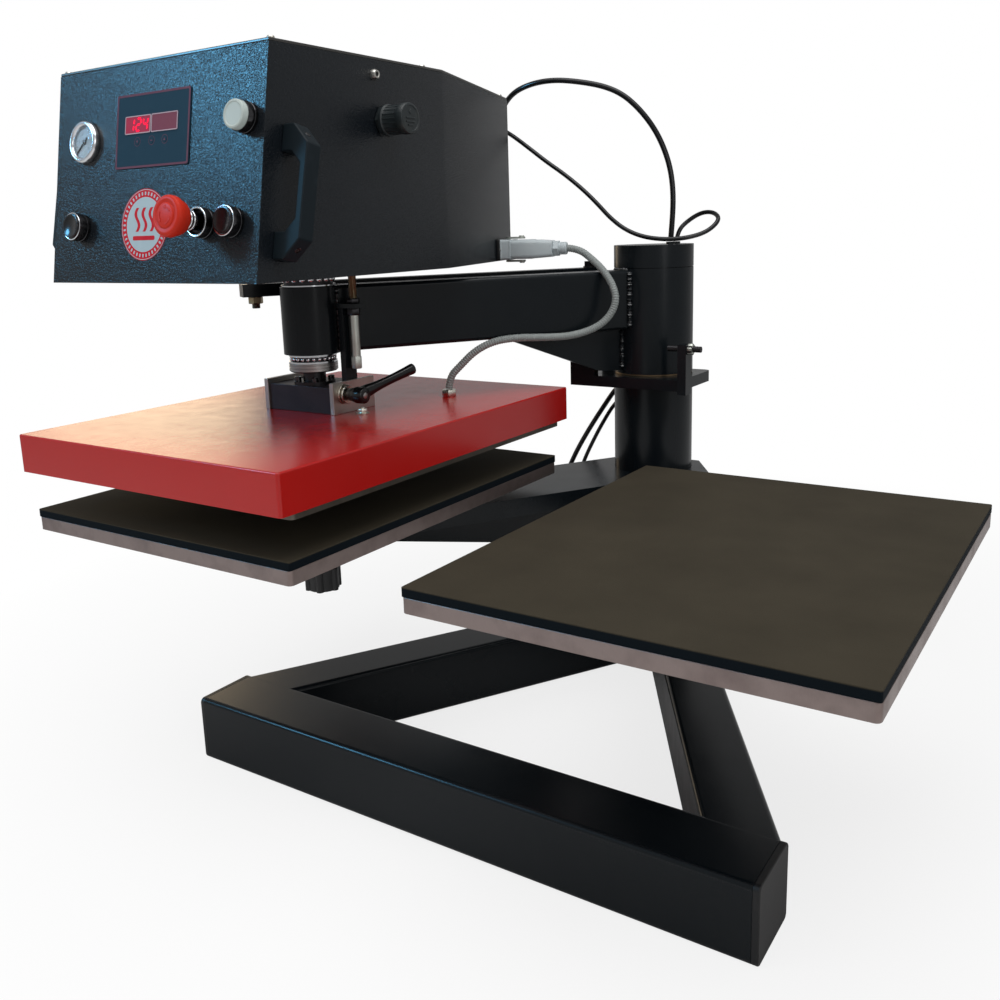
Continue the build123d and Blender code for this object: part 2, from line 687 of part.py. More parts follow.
def handle():
    """The right handle, a bar on two legs with broad bevels."""
    tilt = math.radians(HANDLE_TILT)
    face = Plane(
        origin=(HEAD_X + HEAD_HALF, -622, HANDLE_LOW), x_dir=(1, 0, 0),
        z_dir=(0, -math.cos(tilt), math.sin(tilt)),
    )
    bevel = 19
    inside = HANDLE_OUT - HANDLE_BAR
    outer = [
        (0, 0), (HANDLE_OUT - bevel, 0), (HANDLE_OUT, bevel), (HANDLE_OUT, HANDLE_TALL - bevel),
        (HANDLE_OUT - bevel, HANDLE_TALL), (0, HANDLE_TALL),
    ]
    inner = [
        (-1, HANDLE_LEG), (inside - 12, HANDLE_LEG), (inside, HANDLE_LEG + 12),
        (inside, HANDLE_TALL - HANDLE_LEG - 12), (inside - 12, HANDLE_TALL - HANDLE_LEG), (-1, HANDLE_TALL - HANDLE_LEG),
    ]
    with BuildPart() as grip:
        with BuildSketch(face):
            Polygon(*outer, align=None)
            Polygon(*inner, align=None, mode=Mode.SUBTRACT)
        extrude(amount=-HANDLE_DEEP)
    return grip.part


def gauge_case():
    """The pressure gauge with its bezel, dial face and a pin for the needle."""
    plane = panel(GAUGE_AT)
    body = ring_on(plane, 0, 21, -30, 3)
    bezel = ring_on(plane, 20, 23, 0, 8)
    pin = ring_on(plane, 0, 0.8, 3, 6)
    stem = ring_on(plane, 0, 6, -48, -30)
    return body + bezel + pin + stem


def gauge_needle():
    """The needle, pointing down to the left as at no pressure."""
    with BuildPart() as needle:
        with BuildSketch(panel(GAUGE_AT, 4)):
            Circle(2.5)
            Polygon((-6, -0.9), (16, -0.3), (16, 0.3), (-6, 0.9), rotation=225, align=None)
            Circle(0.8 + RUNNING_FIT, mode=Mode.SUBTRACT)
        extrude(amount=0.8)
    return needle.part


def controller():
    """The display plate with its two windows and three keys, and the case behind the panel."""
    wide, tall = DISPLAY_SIZE
    with BuildPart() as unit:
        with BuildSketch(panel(DISPLAY_AT)):
            RectangleRounded(wide, tall, 2)
        extrude(amount=1.2)
        with BuildSketch(panel(DISPLAY_AT, 1)):
            with Locations((-21.5, 6), (19.2, 6)):
                Rectangle(39, 17.3)
        extrude(amount=0.6)
        with BuildSketch(panel(DISPLAY_AT, 1)):
            with Locations((-22, -11), (0, -11), (20, -11)):
                Circle(3)
        extrude(amount=0.6)
        with BuildSketch(panel(DISPLAY_AT)):
            Rectangle(wide - 12.6, tall - 12.6)
        extrude(amount=-SHEET - FIT)
        with BuildSketch(panel(DISPLAY_AT, -SHEET - FIT)):
            Rectangle(wide - 8, tall - 8)
        extrude(amount=-45)
    return unit.part


COLLAR_RADIUS = 14.8
COLLAR_HIGH = 13
CAP_RADIUS = 11.2
STEM_RADIUS = 5
BARREL_RADIUS = 10.7


def collar(at, high, stem=STEM_RADIUS):
    """A button's chrome collar with its barrel and nut behind the panel."""
    plane = panel(at)
    floor = ring_on(plane, stem + FIT, COLLAR_RADIUS, 0, 3)
    rim = ring_on(plane, CAP_RADIUS + FIT, COLLAR_RADIUS, 3, high)
    barrel = ring_on(plane, stem + FIT, BARREL_RADIUS, -25, 0)
    nut = nut_on(plane, 28, -8, -SHEET - FIT, stem + FIT)
    return floor + rim + barrel + nut


def button_collars():
    """The four collars on the front panel."""
    starts = collar(START_LEFT_AT, COLLAR_HIGH) + collar(START_RIGHT_AT, COLLAR_HIGH)
    return starts + collar(WHITE_AT, COLLAR_HIGH) + collar(ESTOP_AT, COLLAR_HIGH - 1, 8)


def button(at, top):
    """A round push button on its stem."""
    plane = panel(at)
    with BuildPart() as cap:
        with BuildSketch(plane.offset(7.5)):
            Circle(CAP_RADIUS)
        extrude(amount=top - 7.5)
        fillet(cap.faces().sort_by(Axis(plane.origin, plane.z_dir))[-1].edges(), 1.2)
    return cap.part + ring_on(plane, 0, STEM_RADIUS, -15, 8)


def estop_stem():
    """The stem of the emergency stop."""
    return ring_on(panel(ESTOP_AT), 0, 8, -15, 39)


def estop_head():
    """The mushroom head of the emergency stop."""
    plane = panel(ESTOP_AT)
    outwards = Axis(plane.origin, plane.z_dir)
    with BuildPart() as head:
        with BuildSketch(plane.offset(27)):
            Circle(19.5)
        extrude(amount=21)
        fillet(head.faces().sort_by(outwards)[-1].edges(), 7)
        fillet(head.faces().sort_by(outwards)[0].edges(), 3)
        with BuildSketch(plane.offset(27)):
            Circle(8.3)
        extrude(amount=12.3, mode=Mode.SUBTRACT)
    return head.part


def rear_fittings():
    """The silencer on the side of the head and the two cord glands in its rear wall."""
    root = Plane(origin=(HEAD_X + HEAD_HALF, -447, 752), x_dir=(0, 1, 0), z_dir=(1, 0, 0))
    silencer = nut_on(root, 27, 0, 7) + ring_on(root, 0, 15, 6, 12)
    for number in range(5):
        silencer = silencer + ring_on(root, 0, 16, 12 + number * 5, 15 + number * 5)
    silencer = silencer + ring_on(root, 0, 12, 12, 37)
    way = Plane(origin=(-262, HEAD_REAR, 740), z_dir=(0, 1, 0))
    other = Plane(origin=(-275, HEAD_REAR, 798), z_dir=(0, 1, 0))
    return silencer + nut_on(way, 20, 0, 14) + nut_on(other, 17, 0, 14)


def connector_plane():
    """The connector's place on the slanting side of the head, with its normal outwards."""
    run = HEAD_REAR - HEAD_BEND
    taper = HEAD_HALF - HEAD_REAR_HALF
    slant = math.hypot(run, taper)
    share = (-121 - HEAD_BEND) / run
    origin = (HEAD_X + HEAD_HALF - taper * share, -121, 609)
    return Plane(origin=origin, x_dir=(-taper / slant, run / slant, 0), z_dir=(run / slant, taper / slant, 0))


def connector():
    """The heater's plug connector: black base, hood and cable gland."""
    plane = connector_plane()
    with BuildPart() as plug:
        with BuildSketch(plane):
            RectangleRounded(52, 29, 3)
        extrude(amount=4)
        with BuildSketch(plane.offset(3)):
            RectangleRounded(44, 27, 3)
        extrude(amount=15)
        with BuildSketch(plane.offset(18 + FIT)):
            RectangleRounded(43, 25, 5)
        extrude(amount=56)
    pins = ring_on(Plane(origin=plane.offset(10).origin, z_dir=(0, 0, 1)), 0, 2.5, -17, 17)
    gland_part = nut_on(plane, 20, 74, 82) + ring_on(plane, 0, 8.5, 82, 93)
    return plug.part + pins + ring_on(plane, 0, 8, 17, 20) + gland_part


def connector_lever():
    """The locking lever that straddles the hood."""
    plane = connector_plane()
    with BuildPart() as lever:
        with BuildSketch(plane):
            for side in (-1, 1):
                with Locations((0, side * 15.2)):
                    Rectangle(9, 1.8)
        extrude(amount=32)
    keep = lever.part - ring_on(plane, 0, 60, -1, 6.5)
    axis = Plane(origin=plane.offset(10).origin, z_dir=(0, 0, 1))
    keep = keep - ring_on(axis, 0, 2.5 + RUNNING_FIT, -20, 20)
    bar = Plane(origin=plane.offset(29).origin, z_dir=(0, 0, 1))
    cross = ring_on(bar, 0, 3, 14.4, 16.1) + ring_on(bar, 0, 3, -16.1, -14.4)
    return keep + cross


# Platen

def ram():
    """The piston with its rod and the flange that is bolted to the bracket."""
    low = HEAD_BOTTOM + FLOOR_THICK + 6
    rod = ring(0, ROD_RADIUS, BLOCK_TOP, low + 80, HEAD_AT)
    flange = ring(0, 25, BLOCK_TOP, BLOCK_TOP + 4, HEAD_AT)
    piston = ring(0, CYLINDER_BORE - RUNNING_FIT, low + 64, low + 84, HEAD_AT)
    return rod + flange + piston


def bracket_body():
    """The steel block between the two side plates."""
    body = block(
        BRACKET_LEFT + SIDE_PLATE, BRACKET_RIGHT - SIDE_PLATE, BRACKET_FRONT + 3, BRACKET_REAR, COVER_TOP, BLOCK_TOP,
    )
    return body


def bracket_plates():
    """The two bright side plates."""
    left = block(BRACKET_LEFT, BRACKET_LEFT + SIDE_PLATE, BRACKET_FRONT, BRACKET_REAR, COVER_TOP, PLATE_TOP)
    right = block(BRACKET_RIGHT - SIDE_PLATE, BRACKET_RIGHT, BRACKET_FRONT, BRACKET_REAR, COVER_TOP, PLATE_TOP)
    return left + right


HUB_START = 9
HUB_END = 34


def clamp_plane():
    """The clamp's axis, at the outer face of the right side plate."""
    return Plane(origin=(BRACKET_RIGHT, *CLAMP_AT), x_dir=(0, 1, 0), z_dir=(1, 0, 0))


def platen_fasteners():
    """The flange bolts, the clamp stud with its washers, the conduit nut and the cover screw."""
    bolts = None
    for x in (-1, 1):
        for y in (-1, 1):
            at = Plane(origin=(HEAD_X + 14.2 * x, HEAD_Y + 14.2 * y, BLOCK_TOP + 4))
            head = ring_on(at, 2.5, 4.2, 0, 5) + ring_on(at, 0, 3.5, 0, 2)
            bolts = head if bolts is None else bolts + head
    plane = clamp_plane()
    stud = ring_on(plane, 0, 4.5, 0, HUB_END - 6)
    washers = ring_on(plane, 0, 12, 0, 3) + ring_on(plane, 0, 9, 3, 4.5) + ring_on(plane, 0, 11, 4.5, 7.5)
    nut = nut_on(Plane(origin=(-164.5, -269.5, COVER_TOP)), 17, 0, 9)
    screw = Plane(origin=(-186.3, -415, COVER_TOP))
    screws = ring_on(screw, 0, 8, 0, 1.5) + nut_on(screw, 10, 1.5, 7)
    return bolts + stud + washers + nut + screws


def clamp_lever():
    """The clamp's hub with its slanting handle."""
    plane = clamp_plane()
    hub = ring_on(plane, 4.5 + FIT, 10, HUB_START, HUB_END - 5) + ring_on(plane, 0, 10, HUB_END - 5, HUB_END)
    start = Vector(BRACKET_RIGHT + 24, CLAMP_AT[0] + 2, CLAMP_AT[1] + 1)
    end = Vector(-160, -347, 474)
    way = end - start
    with BuildPart() as grip:
        with BuildSketch(Plane(origin=start, z_dir=way)):
            Circle(8)
        with BuildSketch(Plane(origin=start + way * 0.35, z_dir=way)):
            Circle(5.6)
        with BuildSketch(Plane(origin=end, z_dir=way)):
            Circle(6.6)
        loft(ruled=True)
    stud_room = ring_on(plane, 0, 4.5 + FIT, 0, HUB_END - 5)
    return hub + grip.part - stud_room


POST_LEFT = -222.5
POST_FRONT = -408
POST_REAR = -389
TAB_LOW = 551
TAB_HIGH = 556


def guide_post():
    """The flat post inside the right side plate, with the tab that holds the guide rod."""
    post = block(POST_LEFT, BRACKET_RIGHT - SIDE_PLATE - WELD_GAP, POST_FRONT, POST_REAR, BLOCK_TOP, TAB_LOW + 1)
    tab = block(POST_LEFT, -193.5, POST_FRONT - 2, POST_REAR - 1, TAB_LOW, TAB_HIGH)
    return post + tab - ring(0, PIN_RADIUS + FIT, TAB_LOW - 1, TAB_HIGH + 1, GUIDE_AT)


def guide_rod():
    """The guide rod with its two nuts, sleeve and end nut."""
    at = Plane(origin=(*GUIDE_AT, 0))
    rod = ring_on(at, 0, PIN_RADIUS, 480, 640)
    nuts = nut_on(at, 14, TAB_HIGH, TAB_HIGH + 6) + nut_on(at, 14, TAB_LOW - 9, TAB_LOW)
    sleeve = ring_on(at, 0, PIN_RADIUS + 0.4, 493, TAB_LOW - 9) + nut_on(at, 11, 478, 493)
    return rod + nuts + sleeve


def platen_cover():
    """The red sheet cover, open underneath."""
    with BuildPart() as cover:
        with BuildSketch(Plane.XY.offset(COVER_BOTTOM)):
            with Locations(HEAD_AT):
                RectangleRounded(COVER_WIDTH, COVER_DEPTH, 4)
        extrude(amount=COVER_TOP - COVER_BOTTOM)
        fillet(cover.faces().sort_by(Axis.Z)[-1].edges(), 1.8)
        with BuildSketch(Plane.XY.offset(COVER_BOTTOM)):
            with Locations(HEAD_AT):
                RectangleRounded(COVER_WIDTH - 2 * SHEET, COVER_DEPTH - 2 * SHEET, 2)
        extrude(amount=COVER_TOP - COVER_BOTTOM - SHEET, mode=Mode.SUBTRACT)
    return cover.part


def heating_plate():
    """The cast aluminium heating plate."""
    return plate(HOT_WIDTH, HOT_DEPTH, 6, HOT_BOTTOM, HOT_BOTTOM + HOT_THICK, HEAD_AT)


def insulation():
    """The insulation between the heating plate and the cover."""
    return plate(HOT_WIDTH - 4, HOT_DEPTH - 4, 6, HOT_BOTTOM + HOT_THICK, COVER_TOP - SHEET, HEAD_AT)


# Cords

HEAD_CABLE_ROUTE = [
    (-262, -59.8, 740), (-262, -40, 740.6), (-258, -24, 759), (-248, -18, 784), (-229, -24, 809),
    (-201.4, -38, 826.4), (-168, -42, 835), (-133, -38.5, 837), (-98, -27.7, 832), (-66, -17.3, 824),
    (-42, -9.5, 812), (-20.8, -2.6, 792), (-1.5, 3.6, 766), (11.5, 7.8, 738.8), (20.2, 10.7, 709.9),
    (23.8, 11.8, 678), (23, 11.5, 644), (20.6, 10.8, 613.7),
]
HEAD_HOSE_ROUTE = [
    (-275, -59.8, 798), (-275, -44, 798.4), (-266, -30, 797), (-247, -25, 790), (-227, -32, 779),
    (-203, -42, 768.6), (-176, -45, 751), (-145.3, -43, 728), (-117, -42, 709.5), (-89, -41, 688),
    (-67.1, -40, 668), (-48.5, -38, 648.1), (-27.8, -35.2, 631.8), (-2.7, -32.5, 621.2), (26.5, -30, 616.8),
    (53.5, -19, 617.4), (73.6, 0, 623.4), (84, 15, 634), (84.5, 28, 644), (71, 37, 651.8),
    (52.4, 41, 651.2), (34.6, 37, 640.5), (24.6, 27.5, 627.8), (23.4, 25, 614.1),
]
CONDUIT_ROUTE = [
    (-85, -93.3, 609), (-69.5, -88.8, 607.5), (-50, -89, 594), (-31.4, -93, 580), (-16.4, -97, 563),
    (-8.5, -100, 546), (-10, -102, 530), (-19, -108, 514), (-34, -120, 502), (-54, -146, 495.3),
    (-77.9, -178, 496.5), (-98, -208, 498.8), (-118, -233, 496), (-137, -249, 484), (-152, -260, 466),
    (-163.4, -268.6, 452), (-164.5, -269.5, 437),
]
MAINS_ROUTE = [
    (-55.2, 41.4, 402), (-73, 54.8, 402), (-91, 62.5, 392), (-109, 62.5, 367), (-136.5, 62, 327),
    (-164, 62.5, 282), (-188, 66, 233), (-203, 75, 181), (-208.5, 90, 127), (-207, 108, 78),
    (-204, 130, 38), (-202.3, 155, 12.5), (-201, 178, 4.1), (-200.3, 200.5, 4),
]
HOSE_ROUTE = [
    (-58.65, 36.36, 380), (-74, 45.9, 380), (-88, 48.6, 369), (-107, 48, 339), (-124, 48.4, 309),
    (-142, 49.5, 274), (-157, 52, 232), (-165.5, 59, 187), (-167, 70, 143), (-162, 81, 101),
    (-151, 91, 63), (-134, 99, 32), (-110, 105, 12), (-81, 107.6, 3.8), (-50, 108.2, 3.25), (-16, 109.3, 3.25),
]


def corner_radii(route):
    """The largest arc that each corner of a route has room for."""
    radii = []
    for before, here, after in zip(route, route[1:], route[2:]):
        come = Vector(*here) - Vector(*before)
        leave = Vector(*after) - Vector(*here)
        half_turn = math.radians(come.get_angle(leave)) / 2
        radii.append(ARC_SHARE * min(come.length, leave.length) / math.tan(half_turn))
    return radii


def cord_tube(name, route, diameter):
    """A cord along its route, as straight runs joined by tangent arcs."""
    radii = corner_radii(route)
    with BuildPart() as tube:
        with BuildLine() as path:
            FilletPolyline(*route, radius=radii)
        with BuildSketch(Plane(origin=route[0], z_dir=Vector(*route[1]) - Vector(*route[0]))):
            Circle(diameter / 2)
        sweep(path=path.wires()[0])
    length = path.wires()[0].length
    expected = length * math.pi * diameter ** 2 / 4
    print(name, "length", round(length), "smallest radius", round(min(radii)), "radii", [round(r) for r in radii])
    print(name, "volume against section times length", round(tube.part.volume / expected, 4))
    return tube.part


def biarc(start, start_way, end, end_way):
    """The point where two arcs meet that join two points and two headings smoothly."""
    chord = end - start
    ways = start_way + end_way
    spread = 2 * (1 - start_way.dot(end_way))
    pull = chord.dot(ways)
    reach = (math.sqrt(pull ** 2 + spread * chord.dot(chord)) - pull) / spread
    return (start + end + (start_way - end_way) * reach) / 2


class Coil:
    """A neat coil that winds in on the floor, climbs at its middle and winds out on top of itself."""

    def __init__(self, diameter, centre, inner, pitch, turns, sense, entry, tail):
        self.diameter = diameter
        self.centre = centre
        self.inner = inner
        self.pitch = pitch
        self.turns = turns
        self.sense = sense
        self.entry = entry
        self.tail = tail
        self.low = diameter / 2 + 0.25
        self.rise = diameter + 0.8

    def at(self, share):
        """A point of the coil, share turns away from the middle of its climb."""
        beyond = max(0, abs(share) - 0.25)
        radius = self.inner + self.pitch * beyond
        climb = min(1, max(0, share * 2 + 0.5))
        eased = climb * climb * (3 - 2 * climb)
        angle = math.radians(self.entry) + self.sense * 2 * math.pi * (share + self.turns / 2)
        return Vector(
            self.centre[0] + radius * math.cos(angle),
            self.centre[1] + radius * math.sin(angle),
            self.low + self.rise * eased,
        )

    def way(self, share):
        """The coil's heading at that point."""
        step = 0.02
        return (self.at(share + step) - self.at(share - step)).normalized()

    def tube(self, name):
        """The coil's solid, one unbroken tube on biarcs of a quarter turn."""
        quarters = round(self.turns * 4)
        shares = [-self.turns / 2 + number / 4 for number in range(quarters + 1)]
        first = self.at(shares[0])
        first_way = self.way(shares[0])
        first_way = Vector(first_way.X, first_way.Y, 0).normalized()
        start = first - first_way * self.diameter
        with BuildPart() as part:
            with BuildLine() as path:
                Line(start, first)
                here, here_way = first, first_way
                for share in shares[1:]:
                    there, there_way = self.at(share), self.way(share)
                    middle = biarc(here, here_way, there, there_way)
                    arc = TangentArc(here, middle, tangent=here_way)
                    arc = TangentArc(middle, there, tangent=arc % 1)
                    here, here_way = there, arc % 1
                Line(here, here + here_way * self.tail)
            with BuildSketch(Plane(origin=start, z_dir=first_way)):
                Circle(self.diameter / 2)
            sweep(path=path.wires()[0])
        self.start, self.start_way = start, first_way
        self.end, self.end_way = here + here_way * self.tail, here_way
        length = path.wires()[0].length
        print(name, "length", round(length), "start", start, "way", first_way, "end", self.end, "way", here_way)
        print(name, "volume against section times length",
              round(part.part.volume / (length * math.pi * self.diameter ** 2 / 4), 4))
        self.measure(name, path.wires()[0], length)
        return part.part

    def measure(self, name, line, length):
        """Prints the least gap between turns, from points along the coil's line."""
        count = 700
        points = [line.position_at(number / count) for number in range(count + 1)]
        skip = int(count * self.diameter * 3 / length)
        least = min(
            (points[one] - points[two]).length
            for one in range(count) for two in range(one + skip, count + 1)
        )
        print(name, "least gap to itself", round(least - self.diameter, 2))


MAINS_COIL = Coil(MAINS, (-148, 208), 30, 9.3, 5.25, -1, 180, 50)
HOSE_COIL = Coil(HOSE, (-10, 152), 24, 7.8, 5.25, 1, -90, 36)


def mains_plug(end, way):
    """The plug on the mains lead, with its strain relief and two pins."""
    along = Vector(way.X, way.Y, 0).normalized()
    up = Plane(origin=end, x_dir=Vector(-along.Y, along.X, 0), z_dir=along)
    with BuildPart() as plug:
        with BuildSketch(up):
            Circle(4.4)
        with BuildSketch(up.offset(22)):
            Circle(6.5)
        loft(ruled=True)
        with BuildSketch(up.offset(21)):
            RectangleRounded(38, 24, 8)
        extrude(amount=38)
        with BuildSketch(up.offset(59)):
            with Locations((-9.5, 0), (9.5, 0)):
                Circle(2.4)
        extrude(amount=19)
    return plug.part


def air_coupling(end, way):
    """The quick coupling on the air supply hose."""
    along = Vector(way.X, way.Y, 0).normalized()
    plane = Plane(origin=end, x_dir=Vector(-along.Y, along.X, 0), z_dir=along)
    body = ring_on(plane, 0, 5, 0, 8) + nut_on(plane, 17, 8, 18) + ring_on(plane, 0, 9.5, 18, 38)
    return body + ring_on(plane, 3, 7, 38, 48)


# Every node of the part

def all_nodes():
    """Builds every node and gives them by name."""
    nodes = {
        "base_front_beam": front_beam(),
        "base_right_beam": side_beam(),
        "column_tube": column_tube(),
        "column_spindle": column_spindle(),
        "column_cap": column_cap(),
        "stop_plate": stop_plate(),
        "frame_bolts": frame_bolts(),
        "table_arm_right": table_arm(),
        "arm_sleeve": arm_sleeve(),
        "arm_beam": arm_beam(),
        "pivot_housing": pivot_housing(),
        "bearing_rings": bearing_rings(),
        "link_bar": link_bar(),
        "head_floor": head_floor(),
        "head_housing": head_housing(),
        "head_lid": head_lid(),
        "pivot_shaft": pivot_shaft(),
        "thrust_bearings": thrust_bearings(),
        "cylinder": cylinder(),
        "handle_right": handle(),
        "gauge_case": gauge_case(),
        "gauge_needle": gauge_needle(),
        "controller": controller(),
        "button_collars": button_collars(),
        "start_button_left": button(START_LEFT_AT, 15),
        "start_button_right": button(START_RIGHT_AT, 15),
        "white_button": button(WHITE_AT, 18),
        "estop_stem": estop_stem(),
        "estop_head": estop_head(),
        "rear_fittings": rear_fittings(),
        "connector": connector(),
        "connector_lever": connector_lever(),
        "ram": ram(),
        "bracket_body": bracket_body(),
        "bracket_plates": bracket_plates(),
        "platen_fasteners": platen_fasteners(),
        "clamp_lever": clamp_lever(),
        "guide_post": guide_post(),
        "guide_rod": guide_rod(),
        "platen_cover": platen_cover(),
        "insulation": insulation(),
        "heating_plate": heating_plate(),
        "head_cable": cord_tube("head_cable", HEAD_CABLE_ROUTE, MAINS),
        "head_air_hose": cord_tube("head_air_hose", HEAD_HOSE_ROUTE, HOSE),
        "conduit": cord_tube("conduit", CONDUIT_ROUTE, CONDUIT),
        "mains_lead": cord_tube("mains_lead", MAINS_ROUTE, MAINS),
        "air_hose": cord_tube("air_hose", HOSE_ROUTE, HOSE),
        "mains_lead_coil": MAINS_COIL.tube("mains_lead_coil"),
        "air_hose_coil": HOSE_COIL.tube("air_hose_coil"),
        "mains_plug": mains_plug(MAINS_COIL.end, MAINS_COIL.end_way),
        "air_coupling": air_coupling(HOSE_COIL.end, HOSE_COIL.end_way),
    }
    nodes["base_left_beam"] = mirrored(nodes["base_right_beam"])
    nodes["base_end_caps"] = end_cap() + mirrored(end_cap())
    nodes["table_arm_left"] = mirrored(nodes["table_arm_right"])
    nodes["handle_left"] = mirrored(nodes["handle_right"], HEAD_X)
    for name, side in (("left", -1), ("right", 1)):
        x = side * TABLE_X
        nodes["table_" + name + "_plate"] = table_plate(x, x + KNOB_AT[0])
        nodes["table_" + name + "_pad"] = table_pad(x)
        nodes["table_lock_" + name] = table_lock(x + KNOB_AT[0])
    return nodes


os.makedirs("parts", exist_ok=True)
for name, shape in all_nodes().items():
    shape.label = name
    export_step(shape, "parts/" + name + ".step")
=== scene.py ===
import json
import math

import bmesh
import bpy
from mathutils import Matrix, Vector

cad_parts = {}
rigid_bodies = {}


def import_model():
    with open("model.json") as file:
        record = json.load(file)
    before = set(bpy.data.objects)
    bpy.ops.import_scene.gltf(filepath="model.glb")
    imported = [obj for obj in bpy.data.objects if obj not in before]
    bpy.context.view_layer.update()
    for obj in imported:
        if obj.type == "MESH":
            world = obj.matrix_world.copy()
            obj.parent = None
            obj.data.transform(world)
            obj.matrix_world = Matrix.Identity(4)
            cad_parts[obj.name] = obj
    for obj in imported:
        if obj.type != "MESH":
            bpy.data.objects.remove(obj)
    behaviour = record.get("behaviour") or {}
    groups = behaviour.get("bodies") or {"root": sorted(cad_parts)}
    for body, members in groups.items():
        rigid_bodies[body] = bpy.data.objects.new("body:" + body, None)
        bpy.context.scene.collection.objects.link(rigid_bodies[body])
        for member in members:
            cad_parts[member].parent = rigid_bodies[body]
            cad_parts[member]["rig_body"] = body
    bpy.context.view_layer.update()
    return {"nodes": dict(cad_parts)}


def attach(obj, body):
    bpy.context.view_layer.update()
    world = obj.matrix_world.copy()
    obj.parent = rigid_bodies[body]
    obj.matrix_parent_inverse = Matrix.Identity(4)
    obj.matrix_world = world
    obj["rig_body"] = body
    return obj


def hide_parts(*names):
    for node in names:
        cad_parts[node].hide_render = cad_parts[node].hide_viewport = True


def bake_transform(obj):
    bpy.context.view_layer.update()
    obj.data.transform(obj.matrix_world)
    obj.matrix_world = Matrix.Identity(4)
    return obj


# Looks of the pneumatic heat press, in metres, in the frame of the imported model:
# the origin is on the floor under the column, X to the right, Y to the back, Z up.

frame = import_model()
MM = 0.001

# Sizes that this script shares with the solids
SWING_HALF = math.radians(32.6)
ARM_REACH = 489 * MM
ARM_WAY = Vector((-math.sin(SWING_HALF), -math.cos(SWING_HALF), 0))
ARM_SIDE = Vector((math.cos(SWING_HALF), -math.sin(SWING_HALF), 0))
HEAD_X = ARM_WAY.x * ARM_REACH
HEAD_Y = ARM_WAY.y * ARM_REACH
HEAD_HALF = 158 * MM
HEAD_FRONT = -643 * MM
HEAD_LOW = 594 * MM
PANEL_TILT = math.atan(38 / 218)
UP = Vector((0, 0, 1))


# Materials


class Wire:
    """A value that flows through a material, so that shader maths reads as plain expressions."""

    def __init__(self, finish, socket):
        self.finish = finish
        self.socket = socket

    def maths(self, operation, *values):
        return self.finish.node("ShaderNodeMath", {"operation": operation}, dict(enumerate(values)))

    def __add__(self, other):
        return self.maths("ADD", self, other)

    __radd__ = __add__

    def __mul__(self, other):
        return self.maths("MULTIPLY", self, other)

    __rmul__ = __mul__


class Finish:
    """One procedural material, built around a Principled shader."""

    def __init__(self, name):
        self.material = bpy.data.materials.new(name)
        self.material.use_nodes = True
        self.tree = self.material.node_tree
        self.shader = self.tree.nodes["Principled BSDF"]
        self.place = self.node("ShaderNodeTexCoord", output="Object")

    def node(self, kind, settings=None, inputs=None, output=0):
        """Adds a node: its settings first, then the values or wires of its sockets."""
        made = self.tree.nodes.new(kind)
        for key, value in (settings or {}).items():
            if key == "stops":
                ramp = made.color_ramp.elements
                while len(ramp) < len(value):
                    ramp.new(0.5)
                for element, (position, color) in zip(ramp, value):
                    element.position = position
                    element.color = (*color, 1) if len(color) == 3 else color
            else:
                setattr(made, key, value)
        for key, value in (inputs or {}).items():
            if isinstance(value, Wire):
                self.tree.links.new(value.socket, made.inputs[key])
            else:
                made.inputs[key].default_value = value
        return Wire(self, made.outputs[output])

    def noise(self, scale, detail=3, stretch=(1, 1, 1), rough=0.5, distortion=0.0):
        """Noise with a size in cycles a metre."""
        place = self.node("ShaderNodeMapping", inputs={"Vector": self.place, "Scale": stretch})
        return self.node("ShaderNodeTexNoise", inputs={
            "Vector": place, "Scale": scale, "Detail": detail, "Roughness": rough, "Distortion": distortion,
        })

    def ramp(self, value, low, high):
        """Turns a value between two limits into 0 to 1."""
        return self.node("ShaderNodeMapRange", inputs={"Value": value, "From Min": low, "From Max": high})

    def blend(self, factor, one, two):
        """A colour between two colours."""
        one, two = (color if isinstance(color, Wire) else (*color, 1) for color in (one, two))
        return self.node("ShaderNodeMix", {"data_type": "RGBA"}, {0: factor, 6: one, 7: two}, output=2)

    def bump(self, height, distance):
        """A bump of a real depth in metres."""
        return self.node("ShaderNodeBump", inputs={"Height": height, "Distance": distance, "Strength": 1.0})

    def put(self, **sockets):
        """Sets or links the shader's sockets, with underscores for spaces."""
        for key, value in sockets.items():
            socket = self.shader.inputs[key.replace("_", " ")]
            if isinstance(value, Wire):
                self.tree.links.new(value.socket, socket)
            elif isinstance(value, tuple) and len(value) == 3 and socket.type == "RGBA":
                socket.default_value = (*value, 1)
            else:
                socket.default_value = value
        return self.material


def painted(name, color, dusty, roughness, peel_size, peel_depth, gloss=0.5):
    """Sprayed paint with orange peel, faint dust and uneven gloss."""
    finish = Finish(name)
    cloud = finish.noise(9, 4)
    specks = finish.ramp(finish.noise(900, 2), 0.66, 0.74)
    dust = finish.ramp(cloud, 0.35, 0.75) * 0.35 + specks * 0.25
    peel = finish.noise(1 / peel_size, 2, rough=0.4)
    uneven = finish.noise(40, 3)
    return finish.put(
        Base_Color=finish.blend(dust, color, dusty),
        Roughness=uneven * 0.1 + (roughness - 0.05),
        Normal=finish.bump(peel, peel_depth),
        Specular_IOR_Level=gloss,
    )


def hammered_coat():
    """The head's blue-black powder coat with its fine wrinkled grain."""
    finish = Finish("hammered_powder_coat")
    worms = finish.noise(390, 1, (1, 1, 1.5), distortion=1.2)
    fine = finish.noise(1300, 2)
    height = finish.ramp(worms, 0.32, 0.68) * 0.9 + fine * 0.1
    tone = finish.ramp(finish.noise(6, 3), 0.3, 0.75)
    return finish.put(
        Base_Color=finish.blend(tone, (0.0050, 0.0070, 0.0095), (0.0075, 0.0100, 0.0130)),
        Roughness=fine * 0.06 + 0.17,
        Normal=finish.bump(height, 0.20 * MM),
        Specular_IOR_Level=0.24,
    )


